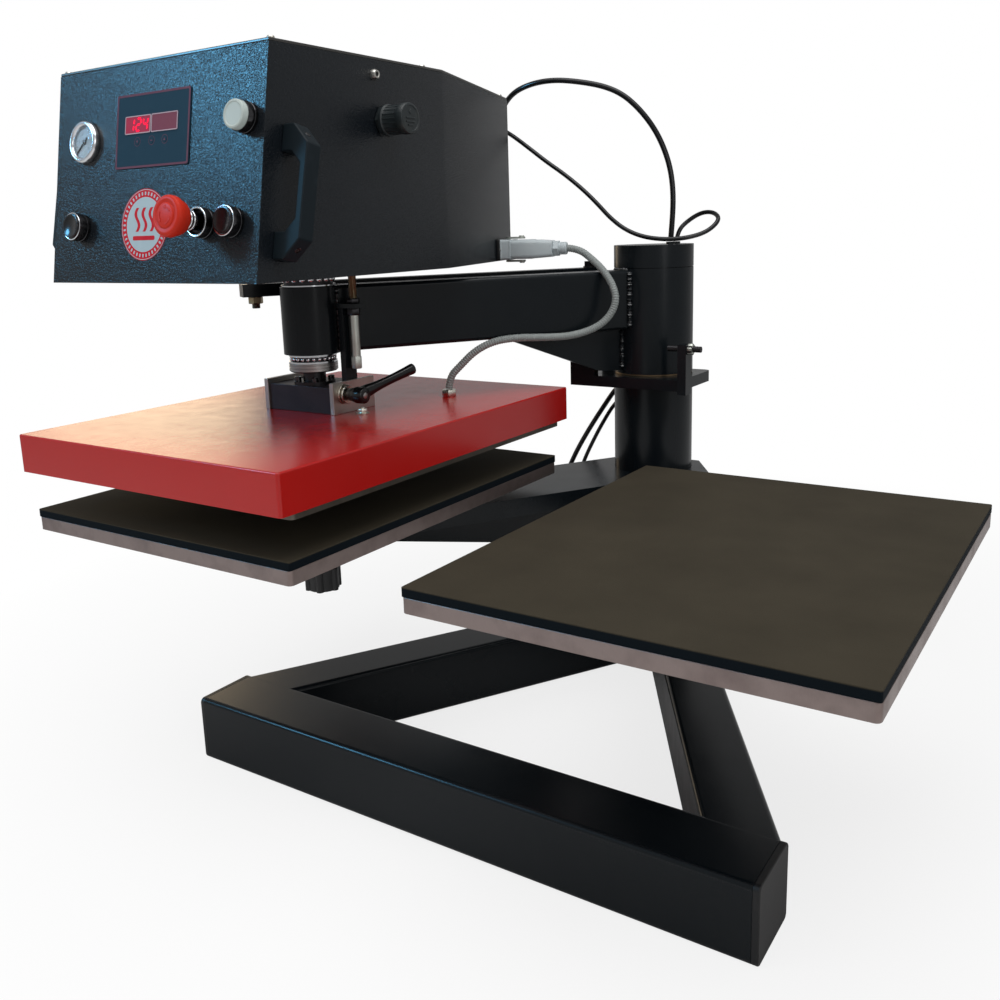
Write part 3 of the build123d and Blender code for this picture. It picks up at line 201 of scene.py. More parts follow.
def plastic(name, color, worn, roughness, grain_depth=0.03, gloss=0.4):
    """Moulded plastic with a fine spark grain."""
    finish = Finish(name)
    grain = finish.noise(1500, 2)
    wear = finish.ramp(finish.noise(60, 4), 0.55, 0.8)
    return finish.put(
        Base_Color=finish.blend(wear * 0.6, color, worn),
        Roughness=grain * 0.12 + (roughness - 0.06),
        Normal=finish.bump(grain, grain_depth * MM),
        Specular_IOR_Level=gloss,
    )


def bare_metal(name, color, stained, roughness, stretch=(1, 1, 1), metallic=1.0):
    """Machined or brushed metal with streaks along the given direction."""
    finish = Finish(name)
    streaks = finish.noise(700, 4, stretch)
    stain = finish.ramp(finish.noise(35, 5), 0.45, 0.8)
    return finish.put(
        Base_Color=finish.blend(stain * 0.7 + streaks * 0.2, color, stained),
        Metallic=metallic,
        Roughness=streaks * 0.22 + stain * 0.1 + (roughness - 0.1),
        Normal=finish.bump(streaks, 0.03 * MM),
    )


def silicone():
    """The pads' dark silicone foam with its pores and faint dust, and its sides painted darker and bluer than
    its top as shade.
    """
    finish = Finish("silicone_foam")
    pores = finish.node("ShaderNodeTexVoronoi", {}, {"Vector": finish.place, "Scale": 900.0})
    soft = finish.noise(14, 4)
    fine = finish.noise(700, 3)
    tone = finish.ramp(soft, 0.3, 0.75) * 0.7 + fine * 0.3
    top = max(vertex.co.z for vertex in frame["nodes"]["table_left_pad"].data.vertices)
    height = finish.node("ShaderNodeSeparateXYZ", inputs={"Vector": finish.place}, output="Z")
    # The sides below the top face get a darker, bluer colour than the top: painted shade.
    top_light_side_shade = finish.ramp(height, top - 1.6 * MM, top - 0.4 * MM)
    dusty = finish.blend(tone, (0.035, 0.0295, 0.0205), (0.048, 0.0405, 0.028))
    return finish.put(
        Base_Color=finish.blend(top_light_side_shade, (0.0035, 0.0060, 0.0085), dusty),
        Roughness=fine * 0.1 + 0.72,
        Normal=finish.bump(pores * 0.5 + fine * 0.6, 0.12 * MM),
        Specular_IOR_Level=0.06,
    )


def cord_jacket(name, color, roughness):
    """A cord's smooth jacket with slight scuffs."""
    finish = Finish(name)
    scuff = finish.ramp(finish.noise(120, 4), 0.55, 0.8)
    fine = finish.noise(900, 2)
    return finish.put(
        Base_Color=finish.blend(scuff * 0.4, color, tuple(c * 1.6 + 0.004 for c in color)),
        Roughness=fine * 0.06 + scuff * 0.08 + (roughness - 0.05),
        Normal=finish.bump(fine, 0.006 * MM),
        Specular_IOR_Level=0.35,
    )


def glowing(name, color, strength):
    """A glowing display surface, lit segments or a window, with slightly uneven light."""
    finish = Finish(name)
    light = finish.blend(finish.noise(900, 2), tuple(c * 0.75 for c in color), color)
    return finish.put(
        Base_Color=light, Emission_Color=light, Emission_Strength=strength,
        Roughness=0.5, Specular_IOR_Level=0.04,
    )


def clear_glass():
    """The gauge's flat glass."""
    finish = Finish("gauge_glass")
    smear = finish.ramp(finish.noise(90, 4), 0.5, 0.85)
    return finish.put(
        Base_Color=(1.0, 1.0, 1.0), Roughness=smear * 0.08 + 0.03,
        Transmission_Weight=1.0, IOR=1.08, Specular_IOR_Level=0.2,
    )


PAINT_BLACK = painted(
    "black_gloss_paint", (0.0040, 0.0062, 0.0082), (0.0095, 0.0115, 0.0130), 0.24, 2.2 * MM, 0.05 * MM,
    gloss=0.22,
)
PAINT_RED = painted(
    "red_gloss_paint", (0.40, 0.0065, 0.0055), (0.44, 0.012, 0.009), 0.22, 2.6 * MM, 0.06 * MM, gloss=0.4,
)
COAT = hammered_coat()
PLASTIC_BLACK = plastic("black_plastic", (0.006, 0.006, 0.0065), (0.016, 0.016, 0.017), 0.46)
HANDLE_PLASTIC = plastic("handle_plastic", (0.007, 0.0115, 0.0150), (0.016, 0.022, 0.027), 0.50, 0.03, 0.12)
PLASTIC_GLOSS = plastic("glossy_black_plastic", (0.005, 0.005, 0.0055), (0.012, 0.012, 0.013), 0.20, 0.008)
PLASTIC_GREY = plastic("grey_plastic", (0.46, 0.51, 0.53), (0.54, 0.56, 0.56), 0.5)
PLASTIC_RED = plastic("red_plastic", (0.50, 0.026, 0.012), (0.58, 0.045, 0.022), 0.42, 0.012, 0.12)
PLASTIC_WHITE = plastic("white_plastic", (0.43, 0.49, 0.47), (0.35, 0.40, 0.38), 0.40, 0.01, 0.06)
DISPLAY_FILM = plastic("display_film", (0.016, 0.042, 0.068), (0.022, 0.049, 0.075), 0.6, 0.004, 0.04)
FILM_BORDER = plastic("display_border", (0.12, 0.055, 0.085), (0.14, 0.07, 0.10), 0.6, 0.004, 0.05)
WINDOW_FRAME = plastic("window_frame", (0.42, 0.34, 0.40), (0.36, 0.28, 0.34), 0.6, 0.004, 0.05)
BADGE_RED = plastic("badge_red", (0.46, 0.010, 0.020), (0.52, 0.03, 0.035), 0.5, 0.004, 0.06)
BADGE_PALE = plastic("badge_pale", (0.36, 0.47, 0.53), (0.42, 0.52, 0.57), 0.5, 0.004, 0.06)
DIAL_PALE = plastic("dial_face", (0.26, 0.32, 0.36), (0.22, 0.27, 0.31), 0.5, 0.004, 0.05)
DIAL_INK = plastic("dial_ink", (0.03, 0.03, 0.035), (0.06, 0.06, 0.065), 0.4, 0.004)
STEEL = bare_metal("turned_steel", (0.42, 0.41, 0.40), (0.24, 0.23, 0.22), 0.32, (1, 1, 14))
BLACKENED = bare_metal("blackened_steel", (0.045, 0.043, 0.046), (0.020, 0.019, 0.020), 0.33)
BLACK_CHROME = bare_metal("black_chrome", (0.075, 0.075, 0.08), (0.035, 0.035, 0.038), 0.15)
GROUND_STEEL = bare_metal("ground_side_plate", (0.56, 0.53, 0.50), (0.36, 0.32, 0.28), 0.34, (1, 1, 10))
ZINC = bare_metal("zinc_plated_steel", (0.55, 0.55, 0.53), (0.40, 0.37, 0.30), 0.30, (1, 1, 4))
BRASSY = bare_metal("yellow_zinc_steel", (0.36, 0.29, 0.18), (0.18, 0.13, 0.08), 0.40, (1, 1, 6))
BRONZE = bare_metal("bearing_bronze", (0.24, 0.17, 0.10), (0.14, 0.10, 0.06), 0.40, (1, 1, 8))
ALUMINIUM = bare_metal("milled_aluminium", (0.60, 0.605, 0.61), (0.44, 0.44, 0.45), 0.40, (1, 1, 9))
SAWN_ALUMINIUM = bare_metal("sawn_aluminium", (0.28, 0.225, 0.210), (0.18, 0.135, 0.125), 0.38, (7, 7, 0.4))
HOT_EDGE = bare_metal("hot_plate_aluminium", (0.15, 0.13, 0.11), (0.08, 0.068, 0.055), 0.42, (5, 5, 0.5))
OXIDE_STEEL = bare_metal(
    "oxide_black_steel", (0.040, 0.034, 0.042), (0.022, 0.019, 0.024), 0.42, (1, 1, 5), 0.6,
)
LID_COAT = painted(
    "lid_coat", (0.022, 0.021, 0.019), (0.035, 0.034, 0.031), 0.30, 2.4 * MM, 0.05 * MM, gloss=0.6,
)
SINTERED = plastic("sintered_silencer", (0.012, 0.017, 0.019), (0.030, 0.034, 0.030), 0.42, 0.12)
BRIGHT_ZINC = bare_metal("bright_zinc", (0.66, 0.64, 0.58), (0.46, 0.42, 0.33), 0.24, (1, 1, 4))
PALE_ZINC = bare_metal("pale_zinc", (0.50, 0.52, 0.48), (0.36, 0.37, 0.33), 0.42, (1, 1, 4))
WELD_PAINT = painted(
    "painted_weld", (0.005, 0.007, 0.009), (0.012, 0.014, 0.016), 0.16, 1.6 * MM, 0.5 * MM, gloss=0.7,
)
CHROME = bare_metal("chrome_trim", (0.72, 0.73, 0.75), (0.60, 0.60, 0.62), 0.14)
SILICONE = silicone()
BOARD = plastic("insulating_board", (0.50, 0.47, 0.38), (0.42, 0.38, 0.30), 0.85, 0.2)
JACKET = cord_jacket("black_cord_jacket", (0.004, 0.0045, 0.0055), 0.22)
HOSE_SKIN = cord_jacket("black_hose_skin", (0.004, 0.0045, 0.0055), 0.18)
CONDUIT_SKIN = cord_jacket("grey_conduit_skin", (0.23, 0.25, 0.245), 0.45)
GLASS = clear_glass()
LED_ON = glowing("lit_segments", (1.0, 0.006, 0.045), 0.95)
LED_WINDOW = glowing("lit_red_window", (0.28, 0.026, 0.055), 0.35)
# The unlit window glows faintly red: a painted glow.
LED_DARK_PAINTED_GLOW = glowing("dark_red_window_painted_glow", (0.17, 0.05, 0.075), 0.12)


# Helpers for meshes


def shade(piece, angle=35):
    """Smooth shading with sharp edges above an angle."""
    for face in piece.data.polygons:
        face.use_smooth = True
    piece.data.set_sharp_from_angle(angle=math.radians(angle))


def placed(name, data):
    """A new object in the scene."""
    made = bpy.data.objects.new(name, data)
    bpy.context.scene.collection.objects.link(made)
    return made


def add_piece(name, data, material, body=None, replaced=()):
    """Puts a mesh or curve in the scene as a piece of the object, riding on a body."""
    piece = placed(name, data)
    data.materials.clear()
    data.materials.append(material)
    if body:
        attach(piece, body)
    if replaced:
        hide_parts(*replaced)
    return piece


def spot(x, y, z):
    """A point in millimetres, as a vector in metres."""
    return Vector((x * MM, y * MM, z * MM))


def polar(radius, angle, height):
    """A point on a circle in millimetres, as a vector in metres."""
    return spot(radius * math.cos(angle), radius * math.sin(angle), height)


def round_angles(steps):
    """The angles of equal steps round a circle."""
    return [2 * math.pi * step / steps for step in range(steps)]


def skin(loops, ends=True):
    """A mesh through closed loops with the same number of points, with its faces turned outwards."""
    count = len(loops[0])
    points = [tuple(corner) for loop in loops for corner in loop]
    last = len(points) - count
    faces = [tuple(range(count)), tuple(range(last, len(points)))] if ends else []
    for row in range(0, last, count):
        for step in range(count):
            after = (step + 1) % count
            faces.append((row + step, row + after, row + count + after, row + count + step))
    mesh = bpy.data.meshes.new("shape")
    mesh.from_pydata(points, [], faces)
    shape = bmesh.new()
    shape.from_mesh(mesh)
    bmesh.ops.remove_doubles(shape, verts=shape.verts, dist=1e-7)
    bmesh.ops.recalc_face_normals(shape, faces=shape.faces)
    shape.to_mesh(mesh)
    shape.free()
    return mesh


def axes(origin, out, across=None):
    """A matrix with its Z along out and its X as near to across as it can be."""
    out = Vector(out).normalized()
    across = Vector(across) if across is not None else out.orthogonal()
    across = (across - out * across.dot(out)).normalized()
    turned = Matrix((across, out.cross(across), out)).transposed().to_4x4()
    return Matrix.Translation(Vector(origin)) @ turned


def panel(across, up, out=0.0):
    """A place on the sloping front panel, in millimetres from the middle of its lower edge."""
    normal = Vector((0, -math.cos(PANEL_TILT), math.sin(PANEL_TILT)))
    origin = Vector((
        HEAD_X + across * MM,
        HEAD_FRONT + up * MM * math.sin(PANEL_TILT),
        HEAD_LOW + up * MM * math.cos(PANEL_TILT),
    ))
    return axes(origin + normal * out * MM, normal, (1, 0, 0))


def lathe(place, profile, steps=56):
    """A turned shape from radius and height pairs in millimetres, on a place's Z axis."""
    angles = round_angles(steps)
    return skin(
        [[place @ polar(radius, a, height) for a in angles] for radius, height in profile], ends=False,
    )


def sections(place, rows):
    """A solid through outlines at heights in millimetres, each with the same number of points."""
    return skin([[place @ spot(x, y, height) for x, y in outline] for height, outline in rows])


def prism(place, outline, low, high, bevel=0.0):
    """An outline in millimetres on a place, raised between two heights, with rounded edges."""
    mesh = sections(place, ((low, outline), (high, outline)))
    if bevel:
        soften(mesh, bevel * MM)
    return mesh


def frame_of(place, outer, inner, low, high):
    """A flat frame between two outlines with the same number of points."""
    corners = ((outer, low), (inner, low), (inner, high), (outer, high), (outer, low))
    return skin([[place @ spot(x, y, height) for x, y in outline] for outline, height in corners], ends=False)


def spun(place, degrees):
    """A place turned about its own axis."""
    return place @ Matrix.Rotation(math.radians(degrees), 4, "Z")


def rounded_outline(width, height, radius, steps=6, at=(0, 0)):
    """The outline of a rectangle with round corners, in millimetres."""
    outline = []
    for sx, sy, start in ((1, 1, 0), (-1, 1, 90), (-1, -1, 180), (1, -1, 270)):
        for step in range(steps + 1):
            angle = math.radians(start + 90 * step / steps)
            x = at[0] + sx * (width / 2 - radius) + radius * math.cos(angle)
            y = at[1] + sy * (height / 2 - radius) + radius * math.sin(angle)
            outline.append((x, y))
    return outline


def soften(mesh, width, angle=30):
    """Rounds a mesh's sharp edges."""
    shape = bmesh.new()
    shape.from_mesh(mesh)
    bmesh.ops.remove_doubles(shape, verts=shape.verts, dist=2e-6)
    bmesh.ops.dissolve_limit(shape, angle_limit=math.radians(0.6), verts=shape.verts, edges=shape.edges)
    sharp = [e for e in shape.edges if len(e.link_faces) == 2 and e.calc_face_angle(0) > math.radians(angle)]
    bmesh.ops.bevel(
        shape, geom=sharp, offset=width, offset_type="OFFSET", segments=3, profile=0.5,
        affect="EDGES", clamp_overlap=True,
    )
    shape.to_mesh(mesh)
    shape.free()


def rounded(node, material, width, angle=30, inset=0):
    """A piece with the shape of a CAD node and rounded edges, which stands for that node."""
    solid = frame["nodes"][node]
    mesh = solid.data.copy()
    if inset:
        for axis in (0, 1):
            values = [vertex.co[axis] for vertex in mesh.vertices]
            half = (min(values) + max(values)) / 2
            for vertex in mesh.vertices:
                vertex.co[axis] -= math.copysign(inset * MM, vertex.co[axis] - half)
    mesh.name = node + "_rounded"
    soften(mesh, width * MM, angle)
    piece = add_piece(node + "_rounded", mesh, material, solid["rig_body"], replaced=(node,))
    shade(piece, 34)
    even = piece.modifiers.new("even_normals", "WEIGHTED_NORMAL")
    even.keep_sharp = True
    return piece


def repaint(node, material):
    """Gives a CAD node that stays in view its material."""
    piece = frame["nodes"][node]
    if not piece.material_slots:
        piece.data.materials.append(material)
    for material_slot in piece.material_slots:
        material_slot.material = material


def joined(name, meshes, material, body, replaced=(), angle=35):
    """One piece out of several meshes."""
    shape = bmesh.new()
    for mesh in meshes:
        shape.from_mesh(mesh)
    whole = bpy.data.meshes.new(name)
    shape.to_mesh(whole)
    shape.free()
    piece = add_piece(name, whole, material, body, replaced)
    shade(piece, angle)
    return piece


def thread(place, radius, low, high, pitch, depth=0.6):
    """A screw thread in millimetres on a place's Z axis, as one ridged skin with flat ends."""
    rows, steps = int((high - low) / pitch * 6), 20
    loops = []
    for row in range(rows + 1):
        height = low + (high - low) * row / rows
        fade = min(1, row / 3, (rows - row) / 3)
        loop = []
        for step, angle in enumerate(round_angles(steps)):
            wave = abs(((height / pitch - step / steps) % 1) * 2 - 1)
            loop.append(place @ polar(radius - depth * (1 - wave * fade), angle, height))
        loops.append(loop)
    return skin(loops)


def hexagon(place, flats, low, high, chamfer=0.8):
    """A nut or bolt head with its corners turned down at both ends."""
    half = flats / 2
    corner = half / math.cos(math.pi / 6)
    rows = (
        (low, half - 0.2), (low, half), (low + chamfer, corner),
        (high - chamfer, corner), (high, half), (high, half - 0.2),
    )
    sides = [(half if step % 2 else corner, math.radians(30 * step)) for step in range(12)]
    return skin([[place @ polar(min(side, reach), a, height) for side, a in sides] for height, reach in rows])


# Camera, floor and light


def camera():
    """The photograph's view: from beside the right table, level with the head, looking down a little."""
    yaw, pitch, roll = -0.5838, 0.2096, -0.0299
    forward = Vector((math.sin(yaw) * math.cos(pitch), math.cos(yaw) * math.cos(pitch), -math.sin(pitch)))
    level = Vector((math.cos(yaw), -math.sin(yaw), 0))
    upright = level.cross(forward)
    right = level * math.cos(roll) + upright * math.sin(roll)
    top = upright * math.cos(roll) - level * math.sin(roll)
    data = bpy.data.cameras.new("photo_camera")
    eye = placed("photo_camera", data)
    turned = Matrix((right, top, -forward)).transposed().to_4x4()
    eye_place = Vector((0.5919, -1.2986, 0.6380))
    eye.matrix_world = Matrix.Translation(eye_place) @ turned
    data.sensor_width = 36
    data.lens = 35.811
    data.shift_y = -0.06
    data.clip_start = 0.05
    bpy.context.scene.camera = eye


def lamp(name, place, target, size, power, color=(1, 1, 1)):
    """A soft rectangular lamp that looks at a target."""
    data = bpy.data.lights.new(name, "AREA")
    data.shape = "RECTANGLE"
    data.size, data.size_y = size
    data.energy = power
    data.color = color
    light = placed(name, data)
    light.matrix_world = axes(place, Vector(place) - Vector(target))
    return light


def studio():
    """A pale floor, a white background and soft lamps."""
    size = 30
    mesh = bpy.data.meshes.new("studio_floor")
    low = -0.4 * MM
    corners = [(-size, -size, low), (size, -size, low), (size, size, low), (-size, size, low)]
    mesh.from_pydata(corners, [], [(0, 1, 2, 3)])
    floor = placed("studio_floor", mesh)
    finish = Finish("pale_floor")
    finish.put(Base_Color=(0.80, 0.80, 0.80), Roughness=0.9, Specular_IOR_Level=0.1)
    glow = finish.node("ShaderNodeEmission", inputs={"Color": (1, 1, 1, 1), "Strength": 1.0})
    path = finish.tree.nodes.new("ShaderNodeLightPath")
    seen = Wire(finish, path.outputs["Is Camera Ray"])
    distance = finish.node("ShaderNodeVectorMath", {"operation": "LENGTH"}, {0: finish.place}, output="Value")
    white = finish.ramp(distance, 0.45, 1.2) * 0.22 + 0.78
    mixed = finish.node(
        "ShaderNodeMixShader", inputs={0: seen * white, 1: Wire(finish, finish.shader.outputs[0]), 2: glow},
    )
    output = finish.tree.nodes["Material Output"]
    finish.tree.links.new(mixed.socket, output.inputs["Surface"])
    mesh.materials.append(finish.material)

    world = bpy.data.worlds.new("studio_world")
    world.use_nodes = True
    bpy.context.scene.world = world
    tree = world.node_tree
    back = tree.nodes["Background"]
    path = tree.nodes.new("ShaderNodeLightPath")
    direct = tree.nodes.new("ShaderNodeMath")
    direct.operation = "MAXIMUM"
    tree.links.new(path.outputs["Is Camera Ray"], direct.inputs[0])
    tree.links.new(path.outputs["Is Transmission Ray"], direct.inputs[1])
    strength = tree.nodes.new("ShaderNodeMapRange")
    tree.links.new(direct.outputs[0], strength.inputs["Value"])
    strength.inputs["To Min"].default_value = 0.42
    strength.inputs["To Max"].default_value = 1.0
    tree.links.new(strength.outputs[0], back.inputs["Strength"])
    back.inputs["Color"].default_value = (1, 1, 1, 1)

    middle = (-0.1, -0.3, 0.45)
    window = lamp(
        "front_window", (-1.75, -1.96, 1.68), (HEAD_X, HEAD_Y, 0.70), (0.55, 0.55), 30, (0.17, 0.60, 1.0),
    )
    window.visible_diffuse = False
    lamp("front_fill", (-1.3, -2.2, 1.5), middle, (1.7, 1.4), 11).visible_glossy = False
    evening = lamp(
        "rear_window", (-2.3, 0.80, 0.85), (HEAD_X, HEAD_Y, 0.42), (0.7, 0.7), 3.6, (1.0, 0.76, 0.46),
    )
    evening.visible_diffuse = False
    lamp("top_softbox", (0.2, -0.6, 2.3), middle, (2.0, 1.8), 32)
    lamp("right_fill", (2.0, -1.4, 1.2), middle, (1.2, 1.2), 8)
    bpy.context.scene.view_settings.view_transform = "Standard"


# Cords

HEAD_CABLE_ROUTE = [
    (-262, -59.8, 740), (-262, -40, 740.6), (-258, -24, 759), (-248, -18, 784), (-229, -24, 809),
    (-201.4, -38, 826.4), (-168, -42, 835), (-133, -38.5, 837), (-98, -27.7, 832), (-66, -17.3, 824),
    (-42, -9.5, 812), (-20.8, -2.6, 792), (-1.5, 3.6, 766), (11.5, 7.8, 738.8), (20.2, 10.7, 709.9),
    (23.8, 11.8, 678), (23, 11.5, 644), (20.6, 10.8, 613.7),
]
HEAD_HOSE_ROUTE = [
    (-275, -59.8, 798), (-275, -44, 798.4), (-266, -30, 797), (-247, -25, 790), (-227, -32, 779),
    (-203, -42, 768.6), (-176, -45, 751), (-145.3, -43, 728), (-117, -42, 709.5), (-89, -41, 688),
    (-67.1, -40, 668), (-48.5, -38, 648.1), (-27.8, -35.2, 631.8), (-2.7, -32.5, 621.2), (26.5, -30, 616.8),
    (53.5, -19, 617.4), (73.6, 0, 623.4), (84, 15, 634), (84.5, 28, 644), (71, 37, 651.8),
    (52.4, 41, 651.2), (34.6, 37, 640.5), (24.6, 27.5, 627.8), (23.4, 25, 614.1),
]
CONDUIT_ROUTE = [
    (-85, -93.3, 609), (-69.5, -88.8, 607.5), (-50, -89, 594), (-31.4, -93, 580), (-16.4, -97, 563),
    (-8.5, -100, 546), (-10, -102, 530), (-19, -108, 514), (-34, -120, 502), (-54, -146, 495.3),
    (-77.9, -178, 496.5), (-98, -208, 498.8), (-118, -233, 496), (-137, -249, 484), (-152, -260, 466),
    (-163.4, -268.6, 452), (-164.5, -269.5, 437),
]
MAINS_ROUTE = [
    (-55.2, 41.4, 402), (-73, 54.8, 402), (-91, 62.5, 392), (-109, 62.5, 367), (-136.5, 62, 327),
    (-164, 62.5, 282), (-188, 66, 233), (-203, 75, 181), (-208.5, 90, 127), (-207, 108, 78),
    (-204, 130, 38), (-202.3, 155, 12.5), (-201, 178, 4.1), (-200.3, 200.5, 4),
]
HOSE_ROUTE = [
    (-58.65, 36.36, 380), (-74, 45.9, 380), (-88, 48.6, 369), (-107, 48, 339), (-124, 48.4, 309),
    (-142, 49.5, 274), (-157, 52, 232), (-165.5, 59, 187), (-167, 70, 143), (-162, 81, 101), (-151, 91, 63),
    (-134, 99, 32), (-110, 105, 12), (-81, 107.6, 3.8), (-50, 108.2, 3.25), (-16, 109.3, 3.25),
]
CABLE_WIDTH, HOSE_WIDTH, CONDUIT_WIDTH = 7.5, 6, 10
MAINS_COIL, HOSE_COIL = (-148, 208), (-10, 152)


def coil_points(diameter, centre, inner, pitch, turns, sense, entry, tail):
    """The turns of a stored coil: inwards on the floor, up at the middle and outwards on top."""
    low, rise = diameter / 2 + 0.25, diameter + 0.8
    count = round(turns * 24)
    points = []
    for number in range(1, count + 1):
        share = -turns / 2 + turns * number / count
        radius = inner + pitch * max(0, abs(share) - 0.25)
        climb = min(1, max(0, share * 2 + 0.5))
        angle = math.radians(entry) + sense * 2 * math.pi * (share + turns / 2)
        height = low + rise * climb * climb * (3 - 2 * climb)
        points.append((centre[0] + radius * math.cos(angle), centre[1] + radius * math.sin(angle), height))
    last = Vector(points[-1])
    radial = Vector((math.cos(angle), math.sin(angle), 0))
    way = (Vector((-radial.y, radial.x, 0)) * sense + radial * pitch / (2 * math.pi * radius)).normalized()
    points += [tuple(last + way * tail * 0.5), tuple(last + way * tail)]
    return points


def cord_curve(name, route, diameter):
    """A cord as one smooth curve through its route."""
    curve = bpy.data.curves.new(name, "CURVE")
    curve.dimensions = "3D"
    curve.resolution_u = 8
    curve.bevel_depth = diameter / 2 * MM
    curve.bevel_resolution = 5
    curve.use_fill_caps = True
    spline = curve.splines.new("NURBS")
    spline.points.add(len(route) - 1)
    for point, place in zip(spline.points, route):
        point.co = (*[value * MM for value in place], 1)
    spline.order_u = 3
    spline.use_endpoint_u = True
    return curve


def mesh_from(curve):
    """The mesh that a curve or a text makes."""
    holder = placed("curve_holder", curve)
    bpy.context.view_layer.update()
    mesh = bpy.data.meshes.new_from_object(holder.evaluated_get(bpy.context.evaluated_depsgraph_get()))
    bpy.data.objects.remove(holder)
    return mesh


def centre_line(route, fineness=8):
    """Points along the smooth curve itself."""
    curve = cord_curve("centre_line", route, 0)
    curve.resolution_u = fineness
    curve.use_fill_caps = False
    return [vertex.co.copy() for vertex in mesh_from(curve).vertices]


def cord_mesh(route, diameter):
    """The same cord as a mesh, for a cord that runs across a joint."""
    mesh = mesh_from(cord_curve("bending_cord", route, diameter))
    for face in mesh.polygons:
        face.use_smooth = True
    return mesh


def skin_along(path, radius_at, steps=16):
    """A tube along the points of a cord's line, whose radius in millimetres follows the way along it."""
    loops = []
    across = (path[1] - path[0]).orthogonal().normalized()
    travelled = 0
    for number, here in enumerate(path):
        before, after = path[max(number - 1, 0)], path[min(number + 1, len(path) - 1)]
        way = (after - before).normalized()
        across = (across - way * across.dot(way)).normalized()
        side = way.cross(across)
        travelled += (here - before).length
        radius = radius_at(travelled / MM) * MM
        angles = round_angles(steps)
        loops.append([here + (across * math.cos(a) + side * math.sin(a)) * radius for a in angles])
    return skin(loops)


def ribbed_mesh(route, diameter, pitch):
    """A corrugated conduit along its line."""
    depth = 0.55

    def radius(along):
        return diameter / 2 - depth * (0.5 - 0.5 * math.cos(2 * math.pi * along / pitch))

    return skin_along(centre_line(route, 44), radius)


def strain_relief(name, route, cord_diameter, start, length, wide, body):
    """A tapered, ribbed sleeve around the first stretch of a cord."""
    path = centre_line(route, 30)
    stretch, travelled = [], 0
    for before, here in zip(path, path[1:]):
        travelled += (here - before).length / MM
        if start <= travelled <= start + length:
            stretch.append(here)

    def radius(along):
        share = min(1, along / length)
        ridge = 0.45 * max(0, math.sin(along * 2 * math.pi / 3.6)) * (1 - share * 0.6)
        return wide + (cord_diameter / 2 + 0.5 - wide) * share + ridge

    return joined(name, [skin_along(stretch, radius, 24)], PLASTIC_BLACK, body, (), 50)


def bending_cord(name, route, diameter, material, node, pitch=0):
    """A cord between two bodies, as one fixed mesh that rides on no body."""
    path = centre_line(route)
    mesh = ribbed_mesh(route, diameter, pitch) if pitch else cord_mesh(route, diameter)
    piece = add_piece(name, mesh, material, None, (node,))
    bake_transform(piece)


def stored_cord(name, route, diameter, material, nodes):
    """A cord that ends in a coil on the floor."""
    path = centre_line(route)
    piece = add_piece(name, cord_curve(name, route, diameter), material, "root", nodes)


def tie(centre, radius, degrees, wide, high):
    """A reusable band round a coil's turns."""
    angle = math.radians(degrees)
    out = Vector((math.cos(angle), math.sin(angle), 0))
    middle = spot(*centre, high / 2 + 0.35) + out * radius * MM
    outer = rounded_outline(wide + 2.4, high + 2.0, 3.4)
    inner = rounded_outline(wide + 0.6, high + 0.2, 2.6)
    return frame_of(axes(middle, out.cross(UP), out), outer, inner, -2.5, 2.5)


def cords():
    """All cords: three that run to the head or platen, and two that are stored behind the press."""
    bending_cord(
        "head_cable_run", HEAD_CABLE_ROUTE, CABLE_WIDTH, JACKET, "head_cable",
    )
    bending_cord(
        "head_air_hose_run", HEAD_HOSE_ROUTE, HOSE_WIDTH, HOSE_SKIN, "head_air_hose",
    )
    bending_cord(
        "heater_conduit", CONDUIT_ROUTE, CONDUIT_WIDTH, CONDUIT_SKIN, "conduit",
        3.2,
    )
    mains = MAINS_ROUTE + coil_points(CABLE_WIDTH, MAINS_COIL, 30, 9.3, 5.25, -1, 180, 50)
    hose = HOSE_ROUTE + coil_points(HOSE_WIDTH, HOSE_COIL, 24, 7.8, 5.25, 1, -90, 36)
    relief = strain_relief("mains_relief", MAINS_ROUTE, CABLE_WIDTH, 0.4, 26, 7.2, "root")
    stored_cord(
        "mains_lead_run", mains, CABLE_WIDTH, JACKET, ("mains_lead", "mains_lead_coil"),
    )
    stored_cord(
        "air_hose_run", hose, HOSE_WIDTH, HOSE_SKIN, ("air_hose", "air_hose_coil"),
    )
    ties = [tie(MAINS_COIL, 41.5, 20, 29, 15.8), tie(HOSE_COIL, 33.5, 200, 24.5, 12.8)]
    joined("cord_ties", ties, PLASTIC_BLACK, "root")


camera()
cords()
studio()


def carried_over():
    """Materials of the CAD nodes that stay in view."""
    finishes = {
        PAINT_BLACK: [
            "base_front_beam", "base_left_beam", "base_right_beam", "column_tube", "column_cap", "arm_sleeve",
            "pivot_housing", "guide_post",
        ],
        PLASTIC_BLACK: ["mains_plug", "table_lock_left", "table_lock_right"],
        STEEL: ["column_spindle", "air_coupling"],
        BLACKENED: ["ram", "frame_bolts"],
        BRONZE: ["bearing_rings"],
        ALUMINIUM: ["cylinder"],
        HOT_EDGE: ["heating_plate"],
        DISPLAY_FILM: ["controller"],
        BLACK_CHROME: ["estop_stem"],
        DIAL_INK: ["gauge_needle"],
        PAINT_RED: ["platen_cover"],
        BOARD: ["insulation"],
    }
    for material, nodes in finishes.items():
        for node in nodes:
            repaint(node, material)


# Front panel

GAUGE = panel(-106, 147)
DISPLAY = panel(0, 153.2)
WHITE_BUTTON = panel(135, 153)
LEFT_START = panel(-109.5, 58)
RIGHT_START = panel(123, 57.5)
STOP = panel(84, 57.5)
BADGE = panel(-7, 59)


